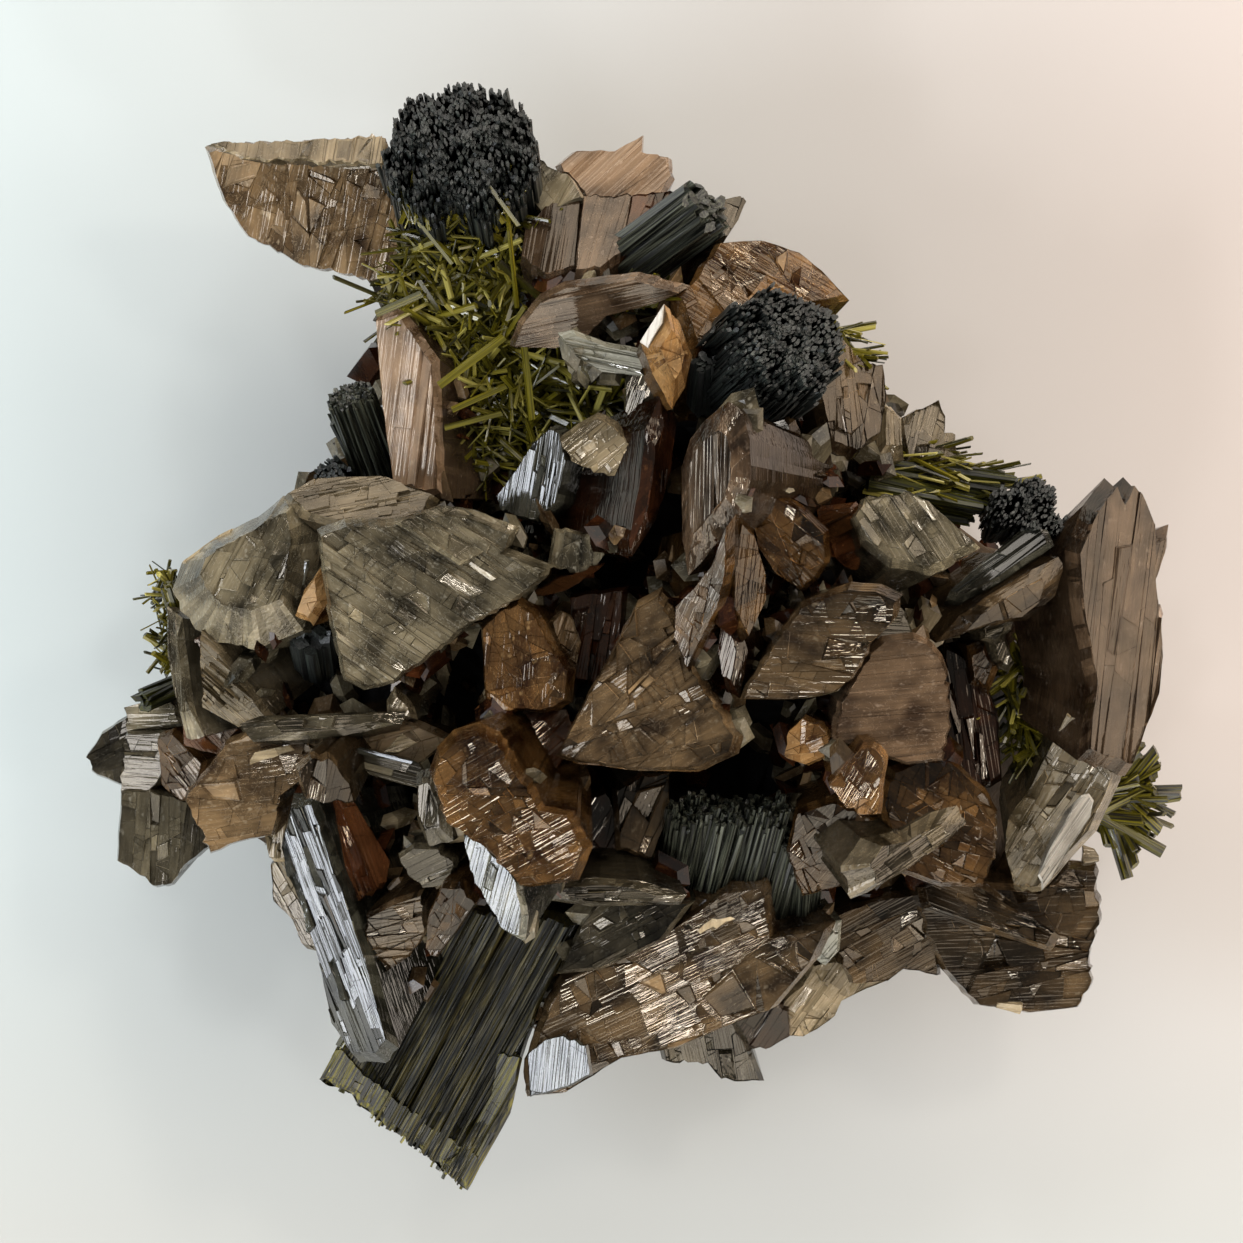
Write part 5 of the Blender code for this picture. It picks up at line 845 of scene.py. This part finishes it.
def wedge(bm, rim, crest, above, below, top, foot):
    """A crystal with a knife edge: the rim, a smaller face above it and another below. Returns the top."""
    face = bm.faces.new([bm.verts.new(point) for point in rim])
    space = Matrix.Translation(-crest)
    raised = bmesh.ops.extrude_face_region(bm, geom=[face])["geom"]
    verts = parts_of(raised, bmesh.types.BMVert)
    bmesh.ops.scale(bm, vec=(top, top, top), space=space, verts=verts)
    bmesh.ops.translate(bm, vec=above, verts=verts)
    upper = max(parts_of(raised, bmesh.types.BMFace), key=lambda f: len(f.verts))
    lowered = bmesh.ops.extrude_discrete_faces(bm, faces=[face])["faces"][0]
    bmesh.ops.scale(bm, vec=(foot, foot, foot), space=space, verts=lowered.verts)
    bmesh.ops.translate(bm, vec=below, verts=lowered.verts)
    return upper


def strips(bm, upper, across, along, texture, draw):
    """Cuts a face into strips along its striae, and some of those across."""
    pitch, longest, across_share, _, _, stray = texture
    pitch *= MM
    longest *= MM
    tops = bm.faces.layers.int["top"]
    upper[tops] = TOP_FACE
    middle = along * upper.calc_center_median().dot(along)
    spans = [vert.co.dot(across) for vert in upper.verts]
    at = min(spans) + draw.uniform(0.3, 1) * pitch
    while at < max(spans) - 0.25 * pitch:
        slant = across + along * draw.uniform(-stray, stray)
        cut(bm, [face for face in bm.faces if face[tops] == TOP_FACE], across * at + middle, slant)
        at += pitch * draw.choice((0.4, 0.7, 1.0, 1.4, 2.0, 3.0))
    for strip in [face for face in bm.faces if face[tops] == TOP_FACE]:
        rest = [strip]
        while rest:
            piece = rest.pop()
            ends = [vert.co.dot(along) for vert in piece.verts]
            length = max(ends) - min(ends)
            if length < 2.4 * pitch or length < longest and draw.random() > across_share:
                continue
            here = draw.uniform(min(ends) + 0.8 * pitch, max(ends) - 0.8 * pitch)
            slant = along + across * draw.uniform(-0.7, 0.7)
            spot = along * here + across * piece.calc_center_median().dot(across)
            rest += cut(bm, [piece], spot, slant)


def tile(bm, upper, normal, along, downhill, texture, shade, draw):
    """Cuts a face into tiles along and across its striae, and leans the tiles into flats.

    The tiles are painted lighter toward the free edge, where the crystal is thin: painted light shining
    through it.
    """
    step, sway = texture[3:5]
    across = normal.cross(along)
    strips(bm, upper, across, along, texture, draw)
    tops = bm.faces.layers.int["top"]
    tiles = [face for face in bm.faces if face[tops] == TOP_FACE and face.calc_area() > 0.02 * MM * MM]
    bmesh.ops.inset_individual(bm, faces=tiles, thickness=0.03 * MM, depth=0)
    tones = bm.faces.layers.float["tone"]
    falls = [face.calc_center_median().dot(downhill) for face in tiles]
    reach = max(falls) - min(falls) + MM
    heart = sum((face.calc_center_median() for face in tiles), Vector()) / len(tiles)
    flats = []
    for _ in range(1 + len(tiles) // 16):
        slopes = [math.radians(draw.gauss(0, 0.8 * sway)) for _ in range(2)]
        flats.append((draw.choice(tiles).calc_center_median(), *slopes, draw.gauss(0, 4 * step) * MM,
                      shade + draw.gauss(0, 0.07)))
    for face in tiles:
        centre = face.calc_center_median()
        middle, rise_across, rise_along, lift, light_of = min(flats, key=lambda f: (centre - f[0]).length)
        off = centre - middle
        lift += off.dot(across) * rise_across + off.dot(along) * rise_along
        lift = max(-0.7 * MM, min(0.6 * MM, lift)) + draw.uniform(-step, step) * MM
        size = max((vert.co - centre).length for vert in face.verts) / MM
        lean = math.radians(sway * (3.0 if draw.random() < 0.14 else 0.4))
        lean_across = draw.gauss(0, lean) * min(1.0, 0.8 / max(breadth(face), 0.1))
        lean_along = draw.gauss(0, lean) * min(0.7, 1.5 / size ** 2)
        turn = Matrix.Rotation(rise_across + lean_across, 3, along)
        turn = turn @ Matrix.Rotation(-rise_along + lean_along, 3, across)
        bmesh.ops.rotate(bm, cent=centre, matrix=turn, verts=face.verts)
        bmesh.ops.translate(bm, vec=normal * lift, verts=face.verts)
        # Painted light: tiles toward the thin free edge are painted lighter, and those away from it darker.
        free = (centre - heart).dot(downhill) / (0.5 * reach)
        face[tones] = in_range(light_of + 0.13 * free + draw.gauss(0, 0.035))
    # The walls between tiles take the blade's shade with a little spread; three in ten are painted much
    # lighter as painted glints.
    for face in bm.faces:
        if face[tops] == TOP_FACE and face[tones] == 0:
            wall_tone_and_glint = (0.2, 0.6) if draw.random() < 0.3 else (-0.15, 0.1)
            face[tones] = in_range(shade + draw.uniform(*wall_tone_and_glint))
    etch(bm, tiles, normal, across, along, sway, draw)


def etch(bm, tiles, normal, across, along, sway, draw):
    """Sinks or raises a small flat in some of the tiles, and paints a few of those lighter as painted
    glints.
    """
    tones = bm.faces.layers.float["tone"]
    scars = [face for face in tiles if breadth(face) > 0.35 and draw.random() < 0.12 * sway]
    large = [face for face in scars if breadth(face) > 0.8]
    bmesh.ops.inset_individual(bm, faces=scars, thickness=0.09 * MM, depth=0)
    bmesh.ops.inset_individual(bm, faces=large, thickness=0.22 * MM, depth=0)
    for face in scars:
        turn = Matrix.Rotation(math.radians(draw.gauss(0, 3.5 * sway)), 3, along)
        turn = turn @ Matrix.Rotation(math.radians(draw.gauss(0, 3.5 * sway)), 3, across)
        bmesh.ops.rotate(bm, cent=face.calc_center_median(), matrix=turn, verts=face.verts)
        bmesh.ops.translate(bm, vec=normal * draw.uniform(-0.02, 0.08) * MM, verts=face.verts)
        # One scar in ten is painted lighter: a painted glint.
        painted_glint = 0.25 if draw.random() < 0.1 else 0
        face[tones] = in_range(face[tones] + painted_glint + draw.gauss(0, 0.09))


def chip(bm, normal, along, count, draw):
    """Breaks the narrow faces round the top into small flats of their own."""
    tops = bm.faces.layers.int["top"]
    for _ in range(count):
        found = sorted((face for face in bm.faces if face[tops] == RIM_FACE), key=middle_of)
        spot = draw.choice(found).calc_center_median()
        slant = along.cross(normal) * draw.uniform(-1, 1) + along * draw.uniform(-1, 1)
        cut(bm, found, spot, slant.normalized())
    verts = {vert for face in bm.faces if face[tops] == RIM_FACE for vert in face.verts}
    for vert in sorted(verts, key=lambda v: v.co[:]):
        if all(face[tops] == RIM_FACE for face in vert.link_faces):
            vert.co += normal * draw.gauss(0, 0.07) * MM


def blade(row, draw):
    """One blade of the specimen, as its row says."""
    name, kind, angle, shade, height, fall, thick, crest_at, top, outline = row
    dip, heading = (math.radians(value) for value in fall)
    downhill = pointing(heading, 0)
    normal = downhill * math.sin(dip) + Vector((0, 0, math.cos(dip)))
    crest = place(*crest_at, height)
    rim = []
    for x, y in ragged(outline, angle, draw):
        point = place(x, y, height)
        point.z -= math.tan(dip) * (point - crest).dot(downhill)
        rim.append(point)
    bm = new_mesh()
    inward = place(*CORE, height) - crest
    spread = 0.24 if top > 0.5 else 0.8
    pull = ROOT_PULL * min(1.0, max(0.0, thick[1] - 2) / 6)
    upper = wedge(bm, rim, crest, normal * thick[0] * MM, inward * pull - normal * thick[1] * MM,
                  1 - spread * (1 - top), FOOT_SCALE)
    flat = pointing(math.radians(angle), 0)
    along = (flat - normal * flat.dot(normal)).normalized()
    across = normal.cross(along)
    size = math.sqrt(upper.calc_area()) / MM
    tops = bm.faces.layers.int["top"]
    for edge in upper.edges:
        for face in edge.link_faces:
            face[tops] = RIM_FACE
    texture = TEXTURES["overlay" if thick[1] <= 2 else kind]
    tile(bm, upper, normal, along, downhill, texture, shade, draw)
    chip(bm, normal, along, round(5 + 0.5 * size), draw)
    tones = bm.faces.layers.float["tone"]
    # Painted shade: the faces below the top, the blade's flanks and underside, are painted darker between
    # the blades.
    for face in sorted(bm.faces, key=middle_of):
        if not face[tops]:
            face[tones] = draw.uniform(0.2, 0.5) * shade
    turn = Matrix((across, along, normal)).transposed().to_4x4()
    # The narrow faces round the top are a little lighter than the blade: slight painted light on the knife
    # edge, with random spread.
    mark(bm, bm.verts, turn, min(0.9, shade + 0.06), draw, 0.16)
    return finished(name, bm)


def under_blades():
    """Tells whether a point lies on a large blade's face, where no small crystal grows."""
    rims = []
    for _, _, _, _, height, fall, _, crest, _, outline in BLADES:
        dip, heading = (math.radians(value) for value in fall)
        rims.append((outline, height, math.tan(dip), math.cos(heading), math.sin(heading), crest))

    def inside(x, y, z):
        for outline, height, slope, east, north, (cx, cy) in rims:
            plane = height - slope * ((x - cx) * east + (cy - y) * north)
            if z >= plane - 4 and within(outline, x, y):
                return True
        return False

    return inside


def druse(bm, inside, count, draw):
    """Small crystals that crowd the root between the blades and on the flanks."""
    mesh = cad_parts["axinite_cluster"].data
    faces = [face for face in mesh.polygons if face.center.z > 2.5 * MM]
    weights = [face.area for face in faces]
    made = 0
    for face in draw.choices(faces, weights, k=6 * count):
        corners = [mesh.vertices[i].co for i in face.vertices]
        share = sorted((draw.random(), draw.random()))
        spot = corners[0] * share[0] + corners[1] * (share[1] - share[0]) + corners[2] * (1 - share[1])
        x, y = spot.x / MM + PLAN_CENTRE[0], PLAN_CENTRE[1] - spot.y / MM
        if inside(x, y, spot.z / MM) or math.hypot(x - CORE[0], y - CORE[1]) > DRUSE_REACH:
            continue
        if any(left < x < right and back < y < front for (left, right), (back, front) in DRUSE_BARE):
            continue
        facing = (face.normal + Vector([draw.gauss(0, 0.45) for _ in range(3)])).normalized()
        if spot.z < DRUSE_FOOT * MM:
            continue
        if spot.z < DRUSE_RISING * MM:
            facing.z = abs(facing.z)
        flank = spot.z < FLANK_TOP * MM
        # Painted shade: a small crystal between the blades is painted darker the deeper it sits; those on
        # the open flank take a middling shade.
        lit = 0.5 if flank else min(0.7, max(0.15, spot.z / MM / 30 - 0.4))
        length = draw.uniform(2.6, 6.5) * (1.4 if flank else 1)
        small_crystal(bm, spot - facing * MM, facing, length, lit, draw)
        made += 1
        if made == count:
            return


def small_crystal(bm, foot, forward, length, lit, draw):
    """An axe-head crystal that points forward. Its length is in millimetres."""
    width = length * draw.uniform(0.4, 0.75)
    thick = length * draw.uniform(0.09, 0.2)
    turn = Matrix.Translation(foot) @ forward.to_track_quat("Y", "Z").to_matrix().to_4x4()
    turn = turn @ Matrix.Rotation(draw.uniform(0, math.tau), 4, "Y")
    shape = [(-0.5, -0.3), (0.5, -0.3), (0.6, 0.2), (draw.uniform(-0.1, 0.4), 0.55), (-0.5, 0.35)]
    rim = [turn @ Vector((u * width * MM, v * length * MM, 0)) for u, v in shape]
    up = (turn.to_3x3() @ Vector((0, 0, 1))) * thick * MM
    before = len(bm.verts)
    wedge(bm, rim, turn.translation, up, -up, 0.62, 0.62)
    bm.verts.ensure_lookup_table()
    mark(bm, bm.verts[before:], turn, draw.uniform(0.15, 0.6) * lit, draw, 0.12 * lit)


def root_mass():
    """The broken rock that the crystals stand on, cut off flat below."""
    bm = new_mesh()
    space = Matrix.Translation(-place(*CORE, 0))
    face = bm.faces.new([bm.verts.new(place(x, y, 0)) for x, y in ROOT_WAIST])
    loops = [face.verts[:]]
    for _ in range(2):
        face = bmesh.ops.extrude_discrete_faces(bm, faces=[face])["faces"][0]
        loops.append(face.verts[:])
    for verts, (scale, height) in zip(loops, ROOT_LEVELS):
        bmesh.ops.scale(bm, vec=(scale, scale, 1), space=space, verts=verts)
        bmesh.ops.translate(bm, vec=(0, 0, height * MM), verts=verts)
    bmesh.ops.triangulate(bm, faces=bm.faces)
    bmesh.ops.subdivide_edges(bm, edges=bm.edges, cuts=5, use_grid_fill=True, fractal=0.5, seed=3)
    geom = bm.faces[:] + bm.edges[:] + bm.verts[:]
    bm.normal_update()
    for vert in bm.verts:
        vert.co += vert.normal * ROOT_RELIEF * MM * noise.fractal(vert.co / (ROOT_LUMP * MM), 0.6, 2.0, 4)
    below = bmesh.ops.bisect_plane(bm, geom=geom, plane_co=(0, 0, 0), plane_no=(0, 0, -1), clear_outer=True)
    bmesh.ops.holes_fill(bm, edges=parts_of(below["geom_cut"], bmesh.types.BMEdge))
    settled(finished("axinite_root", bm, broken()), "axinite", "axinite_cluster")


def along_axis(start, end):
    """The frame at the start of a rod, with its z along the rod."""
    axis = end - start
    return Matrix.Translation(start) @ axis.to_track_quat("Z", "Y").to_matrix().to_4x4()


def rod(bm, start, end, radius, shade, draw, sides=6, flat=1.0, slant=0.4, taper=1.0, spin=None):
    """A prism with a slanting end."""
    length = (end - start).length
    spin = Matrix.Rotation(draw.uniform(0, math.tau) if spin is None else spin, 4, "Z")
    stand = along_axis(start, end) @ spin @ Matrix.Diagonal((1, flat, 1, 1))
    made = bmesh.ops.create_cone(bm, cap_ends=True, segments=sides, radius1=radius, radius2=radius * taper,
                                 depth=length, matrix=Matrix.Translation((0, 0, length / 2)))["verts"]
    for vert in made:
        if vert.co.z > length / 2:
            vert.co.z += slant * vert.co.x
    bmesh.ops.transform(bm, matrix=stand, verts=made)
    mark(bm, made, stand @ Matrix.Rotation(math.radians(90), 4, "X"), shade, draw, 0.1)


def fibres(name, rods, material, slot, node, draw):
    """Makes the rods, some at a time, and joins them."""
    pieces = []
    for first in range(0, len(rods), RODS_AT_A_TIME):
        bm = new_mesh()
        for *shape, settings in rods[first:first + RODS_AT_A_TIME]:
            rod(bm, *shape, draw, **settings)
        pieces.append(finished(name, bm))
    joined(name, pieces, material, slot, node)


def bundle(start, end, wide, thick, radius, rough, draw, crumble):
    """Parallel fibres packed side by side into a column, uneven at its end or crumbled all round it."""
    rods = []
    start = place(*start)
    end = place(*end)
    turn = along_axis(start, end).to_3x3()
    pitch = 1.72 * radius
    rise = 0.866 * pitch
    rows = int(thick / rise) + 1
    columns = int(wide / pitch) + 1
    seed = draw.uniform(0, 50)

    def wave(u, v, scale, layer):
        return noise.noise(Vector((scale * u, scale * v, seed + layer)))

    for row in range(-rows, rows + 1):
        for step in range(-columns, columns + 1):
            u = (step + 0.5 * (row % 2)) * pitch + draw.gauss(0, 0.3) * radius
            v = row * rise + draw.gauss(0, 0.3) * radius
            reach = math.hypot(u / wide, v / thick)
            if reach > 1 - radius / (2 * wide):
                continue
            u += crumble * 1.6 * wave(u, v, 0.5, 9)
            v += crumble * 1.6 * wave(u, v, 0.5, 17)
            off = turn @ Vector((u, v, 0)) * MM
            lump = wave(u, v, 0.4, 0) + 0.6 * wave(u, v, 1.4, 0)
            lift = rough * ((1.6 + crumble) * lump - 1 + draw.gauss(0, 0.45)) - 0.9 * reach ** 6
            lift -= crumble * (draw.uniform(0, 5) * max(0.0, (reach - 0.6) / 0.4) ** 1.5 + 2.2 * reach ** 4)
            lift -= crumble * 1.2 * max(0.0, -lump) ** 2
            top = turn @ Vector((0, 0, lift)) * MM
            lean = turn @ Vector((draw.gauss(0, 0.2), draw.gauss(0, 0.2), 0)) * MM
            size = radius * draw.uniform(0.9, 1.7) * MM
            flaky = crumble > 0 and draw.random() < 0.8
            settings = {"sides": draw.choice((4, 5, 6)), "flat": draw.uniform(0.7, 1),
                        "slant": draw.uniform(0, 1), "taper": draw.uniform(0.7, 1)}
            if flaky:
                settings.update(flat=draw.uniform(0.3, 0.6), spin=math.pi / 2 + draw.gauss(0, 0.3))
            rods.append((start + off, end + off + top + lean, size * (1.8 if flaky else 1.2),
                         0.45 + 0.5 * crumble * lump + draw.uniform(-0.25, 0.25), settings))
    return rods


def mat(patch, ground, count, lengths, widths, rises, headings, draw):
    """Needles that stand and lie across one another over a patch."""
    xs = [x for x, _ in patch]
    ys = [y for _, y in patch]
    rods = []
    while len(rods) < count:
        x, y = draw.uniform(min(xs), max(xs)), draw.uniform(min(ys), max(ys))
        if not within(patch, x, y):
            continue
        depth = draw.uniform(0, 1)
        share = (x - min(xs)) / (max(xs) - min(xs))
        z = ground[0] + (ground[1] - ground[0]) * share + 3.5 * depth - 1.5
        heading = math.radians(draw.uniform(*headings))
        rise = math.radians(draw.uniform(*rises))
        length = draw.uniform(*lengths)
        forward = pointing(heading, rise)
        start = place(x, y, z) - forward * 0.3 * length * MM
        thickness = draw.uniform(0, 1) ** 1.8 * (widths[1] - widths[0]) + widths[0]
        settings = {"sides": draw.choice((4, 5, 6)), "flat": draw.uniform(0.4, 0.9),
                    "slant": draw.uniform(0, 0.6)}
        # Each needle's shade is partly its own, at random, and partly painted shade: the lower it sits in
        # the mat, the darker.
        rods.append((start, start + forward * length * MM, thickness / 2 * MM,
                     draw.uniform(0, 0.62) + 0.38 * depth, settings))
    return rods


def grow_axinite(draw):
    """The blades, the root they stand on and the small crystals between them."""
    by_kind = {kind: [] for kind in KINDS}
    for row in BLADES:
        by_kind[row[1]].append(blade(row, draw))
    for kind, pieces in by_kind.items():
        joined(f"axinite_blades_{kind}", pieces, axinite(kind), "axinite", "axinite_cluster")
    root_mass()
    inside = under_blades()
    for kind, groups in DRUSE_GROUPS.items():
        pieces = []
        for _ in range(groups):
            bm = new_mesh()
            druse(bm, inside, DRUSE_AT_A_TIME, draw)
            pieces.append(finished(kind, bm))
        joined(f"axinite_druse_{kind}", pieces, druse_brown(kind), "axinite", "axinite_cluster")


def grow_epidote(draw):
    """The knobs and columns, the mats, the lone needles and the plate."""
    looks = {name: epidote(name, *look) for name, look in EPIDOTES.items()}
    looks["epidote_needles"] = needles()
    groups = {}
    for name, *rest in KNOBS + COLUMNS:
        groups.setdefault(name, []).append(rest)
    for name, columns in groups.items():
        rods = []
        for column in columns:
            rods += bundle(*column, draw, float("knob" in name))
        look, slot = BUNDLE_LOOKS.get(name, ("epidote_black", "epidote_black"))
        fibres(name + "_fibres", rods, looks[look], slot, name, draw)
    for name, *patch in MATS:
        look, slot = MAT_LOOKS.get(name, ("epidote_needles", "epidote_needles"))
        fibres(name + "_needles", mat(*patch, draw), looks[look], slot, name, draw)
    lone = [(place(*start), place(*end), thickness / 2 * MM, shade, {"sides": 4, "flat": 0.6, "slant": 0.2})
            for start, end, thickness, shade in LONE_NEEDLES]
    fibres("epidote_lone_needles", lone, looks["epidote_needles"], "epidote_needles",
           "epidote_needle_mat", draw)
    joined("epidote_plate", [blade(PLATE, draw)], looks["epidote_fluted"], "epidote_olive",
           "epidote_plate_bottom")
    ends = [blade(row, draw) for row in PLATE_ENDS]
    joined("epidote_plate_ends", ends, looks["epidote_prisms"], "epidote_olive", "epidote_plate_bottom")


def light(name, azimuth, elevation, distance, width, height, power, hue):
    """A rectangular light that faces the specimen."""
    lamp = bpy.data.lights.new(name, "AREA")
    lamp.shape = "RECTANGLE"
    lamp.size = width
    lamp.size_y = height
    lamp.energy = power
    lamp.color = colour(hue)[:3]
    body = bpy.data.objects.new(name, lamp)
    scene.collection.objects.link(body)
    toward = pointing(math.radians(azimuth), math.radians(elevation))
    body.location = toward * distance + LIGHT_AIM
    body.rotation_euler = toward.to_track_quat("Z", "Y").to_euler()


def stage():
    """The floor, the light and the camera, straight above as in the photograph."""
    bm = bmesh.new()
    bmesh.ops.create_grid(bm, x_segments=1, y_segments=1, size=FLOOR_HALF)
    floor = finished("paper", bm, paper())
    scene.world = scene.world or bpy.data.worlds.new("World")
    scene.world.use_nodes = True
    back = scene.world.node_tree.nodes["Background"]
    back.inputs["Color"].default_value = colour("#dfe3e6")
    back.inputs["Strength"].default_value = 0.22
    for name, settings in LIGHTS.items():
        light(name, *settings)
    for name, most in BOUNCES.items():
        setattr(scene.cycles, name, most)
    lens = bpy.data.cameras.new("camera")
    lens.sensor_width = SENSOR
    lens.lens = SENSOR * CAMERA_RISE / (VIEW_WIDTH * MM)
    camera = bpy.data.objects.new("camera", lens)
    scene.collection.objects.link(camera)
    camera.location = place(*VIEW_CENTRE, VIEW_HEIGHT) + Vector((0, 0, CAMERA_RISE))
    scene.camera = camera
    scene.view_settings.view_transform = "Standard"


draws = random.Random(SEED)
grow_axinite(draws)
grow_epidote(draws)
stage()
